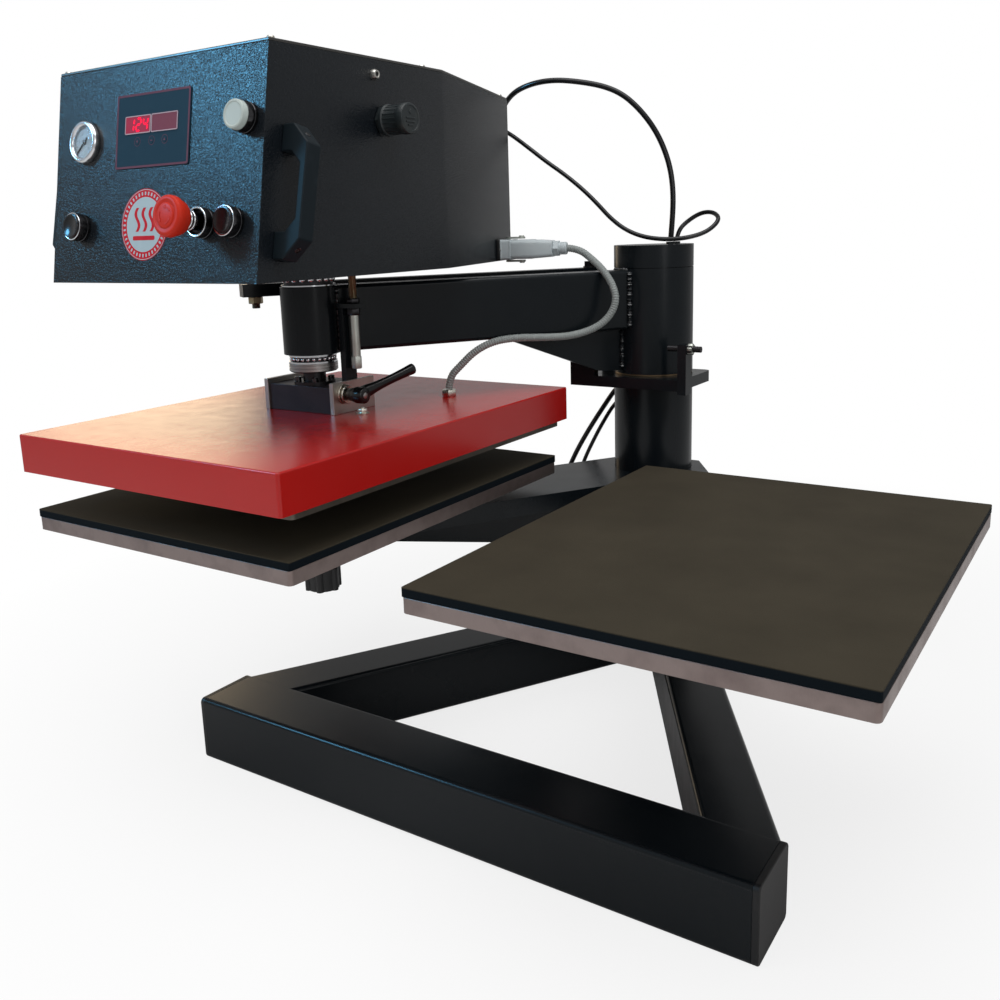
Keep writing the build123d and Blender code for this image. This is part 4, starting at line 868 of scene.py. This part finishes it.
def circle(radius, steps=64, start=0.0, sweep=360.0, at=(0, 0)):
    """Points on a circle or an arc, in millimetres."""
    count = steps if sweep == 360 else steps + 1
    angles = [math.radians(start + sweep * step / steps) for step in range(count)]
    return [(at[0] + radius * math.cos(a), at[1] + radius * math.sin(a)) for a in angles]


def band(inner, outer, start, sweep, steps=24):
    """The outline of a piece of a flat ring."""
    return circle(outer, steps, start, sweep) + circle(inner, steps, start, sweep)[::-1]


def words(place, text, size, at, low, high):
    """Numbers that are printed on a dial, as thin raised letters."""
    curve = bpy.data.curves.new("printed_number", "FONT")
    curve.body = text
    curve.size = size * MM
    curve.extrude = (high - low) / 2 * MM
    curve.align_x = curve.align_y = "CENTER"
    mesh = mesh_from(curve)
    mesh.transform(place @ Matrix.Translation(spot(*at, (low + high) / 2)))
    return mesh


def pressure_gauge():
    """The gauge's polished case, pale dial with its scale and numbers, and flat glass."""
    case = lathe(GAUGE, [
        (0, -48), (6, -48), (6, -30), (21, -30), (21, 0), (21.8, 0), (22.1, 0.5), (22.1, 4.6), (21.6, 6.4),
        (20.6, 7.5), (19.2, 7.9), (17.9, 7.5), (16.8, 6.2), (16.3, 4.6), (16.1, 3), (0, 3),
    ])
    joined("gauge_bezel", [case], CHROME, "head", ("gauge_case",), 40)
    dial = prism(GAUGE, circle(16.15), 3.02, 3.3)
    joined("gauge_dial", [dial], DIAL_PALE, "head")
    marks, ink = [], (3.3, 3.36)
    for number in range(41):
        long = 3.4 if number % 8 == 0 else 2.4 if number % 4 == 0 else 1.5
        wide = 0.55 if number % 4 == 0 else 0.3
        outline = [(15 - long, -wide / 2), (15, -wide / 2), (15, wide / 2), (15 - long, wide / 2)]
        marks.append(prism(spun(GAUGE, 225 - 270 * number / 40), outline, *ink))
    for number in range(6):
        angle = math.radians(225 - 54 * number)
        at = (9.3 * math.cos(angle), 9.3 * math.sin(angle))
        marks.append(words(GAUGE, str(number * 2), 3.4, at, *ink))
    marks.append(prism(GAUGE, band(15.1, 15.5, -45, 270, 60), *ink))
    marks.append(lathe(GAUGE, [(0, 3.3), (2.6, 3.3), (2.6, 3.9), (2.2, 4.0), (0, 4.0)], 24))
    joined("gauge_scale", marks, DIAL_INK, "head")
    glass = lathe(GAUGE, [(0, 5.4), (16.5, 5.4), (16.6, 5.9), (16.2, 6.0), (0, 6.0), (0, 5.4)])
    joined("gauge_glass", [glass], GLASS, "head")


def lit_digit(digit, x, y, tall, wide, thick, low, high):
    """The lit bars of one digit of the display."""
    bars = {
        "a": (0, 1, 1, 1), "b": (1, 1, 1, 0.5), "c": (1, 0.5, 1, 0), "d": (0, 0, 1, 0), "e": (0, 0.5, 0, 0),
        "f": (0, 1, 0, 0.5), "g": (0, 0.5, 1, 0.5),
    }
    lit = {"1": "bc", "2": "abged", "4": "fgbc", "0": "abcdef", "8": "abcdefg"}[digit]
    meshes = []
    for bar in lit:
        x0, y0, x1, y1 = bars[bar]
        one, two = Vector((x + x0 * wide, y + y0 * tall)), Vector((x + x1 * wide, y + y1 * tall))
        way = (two - one).normalized()
        side = Vector((-way.y, way.x)) * thick / 2
        inset = way * thick * 0.55
        one, two = one + inset * 0.45, two - inset * 0.45
        outline = [one, one + inset + side, two - inset + side, two, two - inset - side, one + inset - side]
        slanted = [(p.x + 0.14 * (p.y - y), p.y) for p in outline]
        meshes.append(prism(DISPLAY, slanted, low, high))
    return meshes


def display():
    """The display's border, its two red windows in pale frames, the lit number and the key marks."""
    wide, tall = 112, 74.5
    outer, inner = rounded_outline(wide - 0.4, tall - 0.4, 2), rounded_outline(wide - 4.6, tall - 4.6, 1.4)
    border = frame_of(DISPLAY, outer, inner, 1.15, 1.42)
    joined("display_border", [border], FILM_BORDER, "head")
    # The dark window's faint glow is painted light.
    windows = {"lit_window": ((-21.5, 6), LED_WINDOW), "dark_window": ((19.2, 6), LED_DARK_PAINTED_GLOW)}
    frames = []
    for middle, _ in windows.values():
        outer, inner = rounded_outline(39.6, 18, 1.4, at=middle), rounded_outline(37.8, 16.2, 0.9, at=middle)
        frames.append(frame_of(DISPLAY, outer, inner, 1.5, 2.05))
    joined("window_frames", frames, WINDOW_FRAME, "head")
    for name, (middle, light) in windows.items():
        window = prism(DISPLAY, rounded_outline(38, 16.4, 0.9, at=middle), 1.58, 1.85)
        joined(name, [window], light, "head")
    digits = []
    for number, digit in enumerate("124"):
        digits += lit_digit(digit, -35.2 + number * 10.6, -0.2, 12.2, 6.6, 2.1, 1.85, 1.95)
    joined("lit_number", digits, LED_ON, "head")
    key_height, sign = -11, (1.6, 1.68)
    marks = []
    for x in (-22, 0, 20):
        outer, inner = (circle(radius, 32, at=(x, key_height)) for radius in (4.6, 4.2))
        marks.append(frame_of(DISPLAY, outer, inner, 1.18, 1.3))
    marks.append(prism(DISPLAY, [(-23.6, -9.9), (-20.4, -9.9), (-22, -12.6)], *sign))
    marks.append(prism(DISPLAY, rounded_outline(3.2, 1, 0.4, at=(0, key_height)), *sign))
    marks.append(prism(DISPLAY, [(18.4, -12.3), (21.6, -12.3), (20, -9.6)], *sign))
    joined("key_marks", marks, FILM_BORDER, "head")


def push_buttons():
    """The collars with their bright rims, and the caps of the three push buttons."""
    collars, rims = [], []
    for place, high, stem, inner in (
        (WHITE_BUTTON, 12, 5.3, 13.8), (LEFT_START, 13, 5.3, 12.9), (RIGHT_START, 13, 5.3, 12.9),
        (STOP, 12, 8.3, 12.6),
    ):
        collars.append(lathe(place, [
            (stem, -25), (10.7, -25), (10.7, 0), (14.2, 0), (14.6, 0.4), (14.6, 3.2), (14.2, 3.5),
            (14.2, 4.2), (14.6, 4.5), (14.6, high - 1.0), (14.4, high - 0.5), (inner + 0.1, high - 0.4),
            (inner, high - 0.9), (inner, 3), (stem, 3), (stem, -25),
        ]))
        collars.append(hexagon(place, 28, -8, -2.4))
        if place is not WHITE_BUTTON:
            rims.append(lathe(place, [
                (inner + 0.1, high - 0.6), (14.3, high - 0.7), (14.4, high - 0.2), (14.0, high + 0.2),
                (inner + 0.5, high + 0.25), (inner + 0.1, high), (inner + 0.1, high - 0.6),
            ]))
    joined("button_collars_turned", collars, BLACK_CHROME, "head", ("button_collars",), 40)
    joined("button_rims", rims, CHROME, "head", (), 40)
    stem = [(0, -15), (5, -15), (5, 7.5)]
    flat_cap = stem + [
        (12.7, 7.5), (12.7, 14.0), (12.3, 14.8), (11.4, 15), (10.6, 14.8), (10, 14.4), (0, 14.2),
    ]
    tall_cap = stem + [
        (13.6, 7.5), (13.6, 16.4), (13.3, 17.4), (12.5, 17.9), (11.5, 18), (10.8, 17.6), (10.4, 17.3),
        (0, 17.1),
    ]
    for side, place in (("left", LEFT_START), ("right", RIGHT_START)):
        joined(
            "start_cap_" + side, [lathe(place, flat_cap)], PLASTIC_GLOSS, side + "_start",
            ("start_button_" + side,),
        )
    joined(
        "white_cap", [lathe(WHITE_BUTTON, tall_cap)], PLASTIC_WHITE, "timer_button",
        ("white_button",),
    )


def emergency_stop():
    """The red mushroom head with its sunk ring and turning arrows, and the bright rings on the stem."""
    head = lathe(STOP, [
        (0, 39.3), (8.3, 39.3), (8.3, 29), (13.2, 29), (15.2, 29.8), (16.4, 32), (17.6, 36), (19.4, 39.6),
        (19.5, 43.6), (19.0, 45.8), (17.9, 47.0), (16.2, 47.5), (14.2, 47.3), (12.9, 46.7), (12.2, 46.7),
        (11.4, 47.6), (10.6, 47.9), (0, 47.9),
    ], 72)
    arrows = []
    for start in (30, 150, 270):
        arrows.append(prism(STOP, band(7.0, 8.3, start, 55, 12), 47.8, 48.3))
        arrows.append(prism(spun(STOP, start + 55), [(5.8, 0), (9.5, 0), (7.4, 3.4)], 47.8, 48.3))
    joined("stop_mushroom", [head] + arrows, PLASTIC_RED, "stop_head", ("estop_head",), 40)
    rings = []
    for low in (19, 22.6):
        high = low + 1.9
        ring = [(8, low), (9.6, low), (10, low + 0.5), (10, low + 1.4), (9.6, high), (8, high), (8, low)]
        rings.append(lathe(STOP, ring))
    joined("stop_stem_rings", rings, CHROME, "stop_stem", (), 40)


def round_badge():
    """A plain round badge: a red rim with dashes, a pale disc and waves of heat over a plate."""
    joined("badge_rim", [prism(BADGE, circle(36, 96), 0.02, 0.3)], BADGE_RED, "head")
    pale = [prism(BADGE, circle(27.6, 80), 0.3, 0.38)]
    pale.append(frame_of(BADGE, circle(35.3, 96), circle(34.7, 96), 0.3, 0.38))
    for number in range(40):
        pale.append(prism(spun(BADGE, 9 * number), rounded_outline(3.6, 2.0, 0.7, 3, (31.2, 0)), 0.3, 0.38))
    joined("badge_disc", pale, BADGE_PALE, "head")
    red = [prism(BADGE, rounded_outline(34, 4.4, 1.6, at=(0, -13.5)), 0.38, 0.46)]
    for x in (-11, 0, 11):
        line = [(x + 2.9 * math.sin(math.pi * step / 8), -7 + 1.5 * step) for step in range(17)]
        shape = [(px - 2.1, py) for px, py in line] + [(px + 2.1, py) for px, py in reversed(line)]
        red.append(prism(BADGE, shape, 0.38, 0.46))
    joined("badge_motif", red, BADGE_RED, "head")


# Fittings on the head


def screw_head(place, radius, high, socket):
    """A domed screw head, and a dark hexagon at the bottom of its socket as painted shade."""
    head = lathe(place, [
        (socket, high - 0.9), (socket, high - 0.2), (socket + 0.25, high), (radius * 0.75, high),
        (radius, high * 0.45), (radius, 0), (0, 0),
    ], 28)
    return head, prism(place, circle(socket + 0.05, 6), high - 1.0, high - 0.85)


def head_screws():
    """The lid's six screws, a screw in each side and the handles' screws."""
    bright, dark, rings = [], [], []
    ring = [(2.2, -0.2), (3.1, -0.2), (3.1, 0.15), (2.8, 0.3), (2.2, 0.15), (2.2, -0.2)]
    lid_top, side_screw = 0.815, (-0.460, 0.797)
    for x, y in ((-110, -598), (-112, -368), (-186, -98)):
        for across in (x * MM, 2 * HEAD_X - x * MM):
            one, two = screw_head(axes((across, y * MM, lid_top), UP), 3.8, 2.2, 1.4)
            bright.append(one)
            dark.append(two)
    for side in (1, -1):
        place = axes((HEAD_X + side * HEAD_HALF, *side_screw), (side, 0, 0))
        one, two = screw_head(place, 5.4, 5.5, 2.5)
        bright.append(one)
        dark.append(two)
    tilt = math.radians(12.6)
    upright = Vector((0, math.sin(tilt), math.cos(tilt)))
    depth = Vector((0, math.cos(tilt), -math.sin(tilt)))
    for side in (1, -1):
        corner = Vector((HEAD_X + side * HEAD_HALF, -0.622, 0.616)) + depth * 9.5 * MM
        for up, way in ((9.5, -1), (117.5, 1)):
            out = (Vector((side, 0, 0)) + upright * way).normalized()
            place = axes(corner + Vector((side * 23.5 * MM, 0, 0)) + upright * up * MM, out, depth)
            rings.append(lathe(place, ring, 28))
            # A dark disc at the bottom of each handle ring's hole: painted shade.
            dark.append(prism(place, circle(2.3, 24), -0.2, 0.05))
    joined("head_screws", bright, ZINC, "head")
    joined("handle_screw_rings", rings, BLACK_CHROME, "head")
    # The dark socket bottoms and ring holes are painted shade.
    joined("head_screw_socket_shade", dark, PLASTIC_BLACK, "head")


def silencer():
    """The exhaust silencer with its hexagon, collar, porous barrel and slotted end."""
    place = axes((HEAD_X + HEAD_HALF, -0.447, 0.752), (1, 0, 0), (0, 1, 0))
    body = [
        hexagon(place, 27, 0, 5.5),
        lathe(place, [
            (0, 5), (15.9, 5), (16.3, 5.5), (16.3, 8.6), (15.9, 9.1), (15.2, 9.4), (14.8, 10), (14.8, 26),
            (15.0, 27), (15.5, 27.3), (15.8, 28), (15.8, 34.6), (15.2, 36), (14.2, 36.6), (12.8, 36.6),
            (12.4, 36.1), (0, 36.1),
        ]),
    ]
    for number in range(20):
        turned = spun(place, 18 * number) @ Matrix.Translation((14.6 * MM, 0, 0))
        body.append(prism(turned, rounded_outline(1.2, 1.6, 0.4, 3), 10, 26.5))
    for y, wide in ((-7.0, 9), (-3.4, 15), (0.4, 15)):
        body.append(prism(place, rounded_outline(wide, 1.6, 0.6, 4, (0, y)), 36, 37, 0.2))
    nub = [(0, 36), (2.3, 36), (2.3, 36.5), (1.8, 36.9), (0, 36.9)]
    body.append(lathe(place @ Matrix.Translation((0, 6.6 * MM, 0)), nub, 20))
    joined("silencer", body, SINTERED, "head", ("rear_fittings",))
    glands = []
    for x, z, flats in ((-262, 740, 20), (-275, 798, 17)):
        gland = axes((x * MM, -0.074, z * MM), (0, 1, 0))
        glands.append(hexagon(gland, flats, 0, 6))
        half = flats / 2
        dome = [(0, 6), (half - 1, 6), (half - 1, 9), (half - 2, 12), (half - 4, 14), (0, 14)]
        glands.append(lathe(gland, dome, 32))
    joined("head_glands", glands, ZINC, "head")


def heater_connector():
    """The heater's connector: black foot, grey lower housing, tapering hood with its gland, and pins."""
    run, taper = 266, 83
    slant = math.hypot(run, taper)
    foot_back, taper_start = -121, -340
    share = (foot_back - taper_start) / run
    out = Vector((run / slant, taper / slant, 0))
    across = Vector((-taper / slant, run / slant, 0))
    place = axes((HEAD_X + HEAD_HALF - taper * share * MM, foot_back * MM, 0.609), out, across)
    foot = prism(place, rounded_outline(52, 29, 3), 0, 4, 0.6)
    joined("connector_foot", [foot], PLASTIC_BLACK, "head", ("connector",))
    grey = [
        sections(place, [
            (4, rounded_outline(44.6, 27.4, 3)), (5.4, rounded_outline(44.6, 27.4, 3)),
            (6, rounded_outline(43.4, 26.4, 3)), (16, rounded_outline(43.4, 26.4, 3)),
            (16.6, rounded_outline(44.4, 27.2, 3)), (18, rounded_outline(44.4, 27.2, 3)),
            (18.2, rounded_outline(42.4, 24.6, 4.5)), (19, rounded_outline(43, 25, 5)),
            (54, rounded_outline(42, 24.4, 5)), (68, rounded_outline(32, 22.6, 5)),
            (73, rounded_outline(30, 22, 5)), (74.3, rounded_outline(27, 20, 5)),
        ]),
        sections(place, [
            (24, rounded_outline(30, 25.6, 3)), (24.5, rounded_outline(30.6, 26.2, 3)),
            (46, rounded_outline(30.6, 26.0, 3)), (46.6, rounded_outline(30, 25.4, 3)),
        ]),
        hexagon(place, 20, 74, 82),
        lathe(place, [
            (0, 82), (8.2, 82), (8.5, 83), (8.5, 85.2), (8.0, 85.6), (8.5, 86), (8.5, 91.4), (7.6, 92.6),
            (5.4, 93), (0, 93),
        ], 36),
    ]
    for side in (-1, 1):
        pin = axes(place @ Vector((0, side * 13 * MM, 10 * MM)), UP * side)
        grey.append(lathe(pin, [(0, 0), (2.5, 0), (2.5, 3.4), (2.0, 4), (0, 4)], 24))
    joined("connector_hood", grey, PLASTIC_GREY, "head")
    pivot = axes(place @ Vector((0, 0, 10 * MM)), UP, out)
    lever = []
    for side in (-1, 1):
        low, high = (14.3, 17.0) if side == 1 else (-17.0, -14.3)
        lever.append(prism(pivot, rounded_outline(27.5, 11, 5, at=(10.2, 0)), low, high, 0.5))
        knob = axes(pivot @ Vector((19 * MM, 0, side * 16.5 * MM)), UP * side)
        lever.append(lathe(knob, [(0, 0), (3.6, 0), (3.6, 1.6), (3.0, 2.1), (0, 2.1)], 24))
    joined("connector_lever_formed", lever, PALE_ZINC, "plug_lever", ("connector_lever",))
    screw = [(0, 0), (2.0, 0), (2.0, 0.7), (1.4, 1.2), (0, 1.2)]
    screws = [lathe(place @ Matrix.Translation(spot(x, 0, 4)), screw, 20) for x in (-23.1, 23.1)]
    joined("connector_screws", screws, STEEL, "head")


# Pivot and platen bracket

CLAMP = axes((-0.2085, -0.4215, 0.4505), (1, 0, 0), (0, 1, 0))


def ball_ring(radius, pitch, count, height):
    """The bright balls of a bearing."""
    shape = bmesh.new()
    for angle in round_angles(count):
        place = Matrix.Translation(Vector((HEAD_X, HEAD_Y, 0)) + polar(pitch, angle, height))
        bmesh.ops.create_icosphere(shape, subdivisions=2, radius=radius * MM, matrix=place)
    mesh = bpy.data.meshes.new("ball_ring")
    shape.to_mesh(mesh)
    shape.free()
    return mesh


def washer(place, inner, outer, low, high, edge=0.4):
    """A turned ring with broken edges."""
    return lathe(place, [
        (inner, low), (outer - edge, low), (outer, low + edge),
        (outer, high - edge), (outer - edge, high), (inner, high), (inner, low),
    ])


def pivot_bearings():
    """The thrust bearings over and under the pivot housing, and the shaft with its grooved lock nut."""
    place = Matrix.Translation((HEAD_X, HEAD_Y, 0))
    bright = [
        washer(place, 20.1, 29, 485.05, 488.1, 0.5), washer(place, 20.1, 29, 493.1, 496.2, 0.5),
        washer(place, 20.1, 32.4, 576.8, 579.4, 0.6), washer(place, 20.1, 32.4, 591.4, 593.9, 0.6),
        ball_ring(2.55, 25.9, 24, 490.6), ball_ring(4.15, 28.2, 18, 585.4),
    ]
    joined("thrust_bearing_races", bright, CHROME, "head", ("thrust_bearings",), 40)
    cages = [washer(place, 20.1, 25.2, 488.1, 493.1, 0.2), washer(place, 20.1, 29.6, 579.4, 591.4, 0.2)]
    joined("thrust_bearing_cages", cages, BLACKENED, "head")
    shaft = lathe(place, [
        (14.3, 474.7), (27.8, 474.7), (29.5, 476.3), (29.5, 479.2), (28.8, 479.5), (28.8, 480.3),
        (29.5, 480.6), (29.5, 482.8), (28.9, 483.1), (28.9, 483.7), (29.5, 484), (29.5, 485), (19.7, 485),
        (19.7, 600), (45, 600), (45, 606), (14.3, 606), (14.3, 474.7),
    ])
    joined("pivot_shaft_turned", [shaft], STEEL, "head", ("pivot_shaft",), 40)


def bracket_fasteners():
    """The flange's screws, the clamp's stud and washers, the conduit's nut and the cover's screw."""
    black, dark = [], []
    for x in (-14.2, 14.2):
        for y in (-14.2, 14.2):
            place = Matrix.Translation((HEAD_X + x * MM, HEAD_Y + y * MM, 0.463))
            black.append(
                lathe(place, [(2.3, 2), (2.3, 4.7), (2.5, 5), (3.7, 5), (4.2, 4.4), (4.2, 0), (0, 0)], 28),
            )
            # A darker hexagon at the bottom of each screw's socket: painted shade.
            dark.append(prism(place, circle(2.35, 6), 1.8, 2.1))
    joined("flange_screws", black, BLACK_CHROME, "platen", ("platen_fasteners",))
    joined("flange_socket_shade", dark, BLACKENED, "platen")
    bright = [
        washer(CLAMP, 0, 12, 0, 2.9, 0.5), washer(CLAMP, 0, 9, 2.9, 4.5, 0.2),
        washer(CLAMP, 0, 11, 4.5, 7.4, 0.5), lathe(CLAMP, [(0, 7), (4.5, 7), (4.5, 28), (0, 28)], 24),
        hexagon(Matrix.Translation((-0.1645, -0.2695, 0.427)), 17, 0, 9, 1.0),
    ]
    screw = Matrix.Translation((-0.1863, -0.415, 0.427))
    bright += [washer(screw, 0, 8, 0, 1.5, 0.3), hexagon(screw, 10, 1.5, 6.2)]
    bright.append(lathe(screw, [(0, 6), (2.5, 6), (2.5, 7.2), (2.1, 7.8), (0, 7.8)], 20))
    joined("clamp_washers", bright, BRIGHT_ZINC, "platen")


def clamp_handle():
    """The clamp's lever: a turned hub with a cap, and a long tapering arm."""
    hub = lathe(CLAMP, [
        (4.8, 9.6), (7.2, 9.6), (7.7, 10.6), (8.0, 15), (9.2, 19), (10, 22), (10, 30.6), (9.3, 33), (7.6, 34),
        (4.6, 34), (4.2, 33.4), (0, 33.4),
    ])
    start, end = Vector((-0.1845, -0.4195, 0.4515)), Vector((-0.160, -0.347, 0.474))
    way = end - start
    arm = axes(start, way, (0, 0, 1)) @ Matrix.Diagonal((1, 0.86, 1, 1))
    long = way.length / MM
    grip = lathe(arm, [
        (0, -3), (7.4, -2), (8.2, 2), (8.0, 9), (6.8, 18), (5.9, 28), (5.5, 40), (5.6, 54), (6.1, long - 12),
        (6.7, long - 4), (6.5, long - 1.2), (5.4, long), (0, long + 0.2),
    ], 40)
    joined("clamp_lever_formed", [hub, grip], PLASTIC_GLOSS, "clamp", ("clamp_lever",), 45)
    cap = lathe(CLAMP, [(0, 33.3), (3.6, 33.3), (3.6, 33.9), (3.1, 34.2), (0, 34.2)], 28)
    joined("clamp_cap", [cap], STEEL, "clamp")


def guide():
    """The guide rod: threaded and brass-coloured above, in a pale sleeve below, with dark nuts at the tab."""
    place = Matrix.Translation((-0.2065, -0.3975, 0))
    rod = [
        thread(place, 5.0, 562, 600, 1.5),
        lathe(place, [(0, 600), (5, 600), (5, 639), (4, 640), (0, 640)], 28),
    ]
    joined("guide_rod_threaded", rod, BRASSY, "platen", ("guide_rod",))
    sleeve = [
        lathe(place, [(0, 493), (5.4, 493), (5.4, 542), (0, 542)], 32),
        lathe(place, [(0, 542), (5, 542), (5, 562), (0, 562)], 28),
    ]
    sleeve.append(hexagon(place, 11, 478, 493, 1.0))
    joined("guide_sleeve", sleeve, PALE_ZINC, "platen")
    nuts = [hexagon(place, 14, 556, 562), hexagon(place, 14, 542, 551)]
    joined("guide_nuts", nuts, BLACKENED, "platen")


# Arm and column details


def weld(name, ends, radius):
    """A hand-laid bead of weld on the arm between two places, with its ripples."""
    start, end = ends
    long = (end - start).length / MM
    count = max(8, int(long / 0.8))
    path = [start + (end - start) * number / count for number in range(count + 1)]

    def ripple(along):
        taper = min(1, along / 3 + 0.2, (long - along) / 3 + 0.2)
        wave = 0.22 * math.sin(along * 2 * math.pi / 3.4) + 0.16 * math.sin(along * 0.9 + radius)
        return radius * taper * (1 + wave)

    joined(name, [skin_along(path, ripple, 12)], WELD_PAINT, "arm", (), 60)


def arm_place(along, across, height):
    """A place by its distance along the arm and beside it, in millimetres."""
    return ARM_WAY * along * MM + ARM_SIDE * across * MM + UP * height * MM


def weld_beads():
    """The beads of the arm's joints."""
    sleeve, housing, half_beam = 55, 34.5, 20
    near_end = math.sqrt(sleeve ** 2 - half_beam ** 2)
    far_end = ARM_REACH / MM - math.sqrt(housing ** 2 - half_beam ** 2)
    beads = (
        ("arm", (near_end + 0.5, 20.6, 499), (near_end + 0.5, 20.6, 576), 4.2),
        ("gusset", (55.2, 5.6, 441), (55.2, 5.6, 496), 4.0),
        ("housing", (far_end - 0.4, 20.4, 499), (far_end - 0.4, 20.4, 575), 2.4),
        ("gusset_top", (70, 5.4, 496.4), (232, 5.4, 496.4), 1.8),
    )
    for side, label in ((1, "near"), (-1, "far")):
        for seam, *ends, radius in beads:
            places = [arm_place(along, side * across, height) for along, across, height in ends]
            weld(seam + "_weld_" + label, places, radius)
    weld("arm_top_weld", [arm_place(near_end + 2, across, 577.2) for across in (-18, 18)], 2.6)


def stop_hardware():
    """Threads and pale lock nuts of the two stop screws, and the threaded end of the link's front bolt."""
    threads, nuts = [], []
    for side, y, outer, face in ((-1, -64, 106, 96), (1, -70, 100, 82)):
        place = axes((0, y * MM, 0.475), (side, 0, 0))
        threads.append(thread(place, 4.15, face + 7, outer + 0.1, 1.25, 0.5))
        if side == 1:
            threads.append(thread(place, 4.15, 53.5, 69.5, 1.25, 0.5))
        nuts.append(hexagon(place, 13.2, face, face + 7.1, 0.9))
    joined("stop_threads", threads, BLACKENED, "root")
    joined("stop_nuts", nuts, PALE_ZINC, "root")
    place = Matrix.Translation((HEAD_X - 108.7 * MM, HEAD_Y + 15.7 * MM, 0))
    bolt = [hexagon(place, 16.2, 552.9, 561.6), thread(place, 5.2, 546.9, 553, 1.5, 0.5)]
    joined("link_front_nut", bolt, BRASSY, "head")


carried_over()
pressure_gauge()
display()
push_buttons()
emergency_stop()
round_badge()
head_screws()
silencer()
heater_connector()
pivot_bearings()
bracket_fasteners()
clamp_handle()
guide()
weld_beads()
stop_hardware()
rounded("head_housing", COAT, 2.2, 20)
rounded("head_lid", LID_COAT, 0.9, inset=1.6)
rounded("head_floor", COAT, 0.4)
rounded("handle_left", HANDLE_PLASTIC, 1.6, 20)
rounded("handle_right", HANDLE_PLASTIC, 1.6, 20)
rounded("base_end_caps", PLASTIC_BLACK, 1.2, 40)
rounded("table_arm_left", PAINT_BLACK, 1.2)
rounded("table_arm_right", PAINT_BLACK, 1.2)
rounded("stop_plate", PAINT_BLACK, 0.9)
rounded("arm_beam", PAINT_BLACK, 0.8)
rounded("link_bar", PAINT_BLACK, 0.8)
rounded("bracket_body", OXIDE_STEEL, 0.6)
rounded("bracket_plates", GROUND_STEEL, 0.5)
for side in ("left", "right"):
    rounded("table_" + side + "_plate", SAWN_ALUMINIUM, 0.7)
    rounded("table_" + side + "_pad", SILICONE, 0.8)
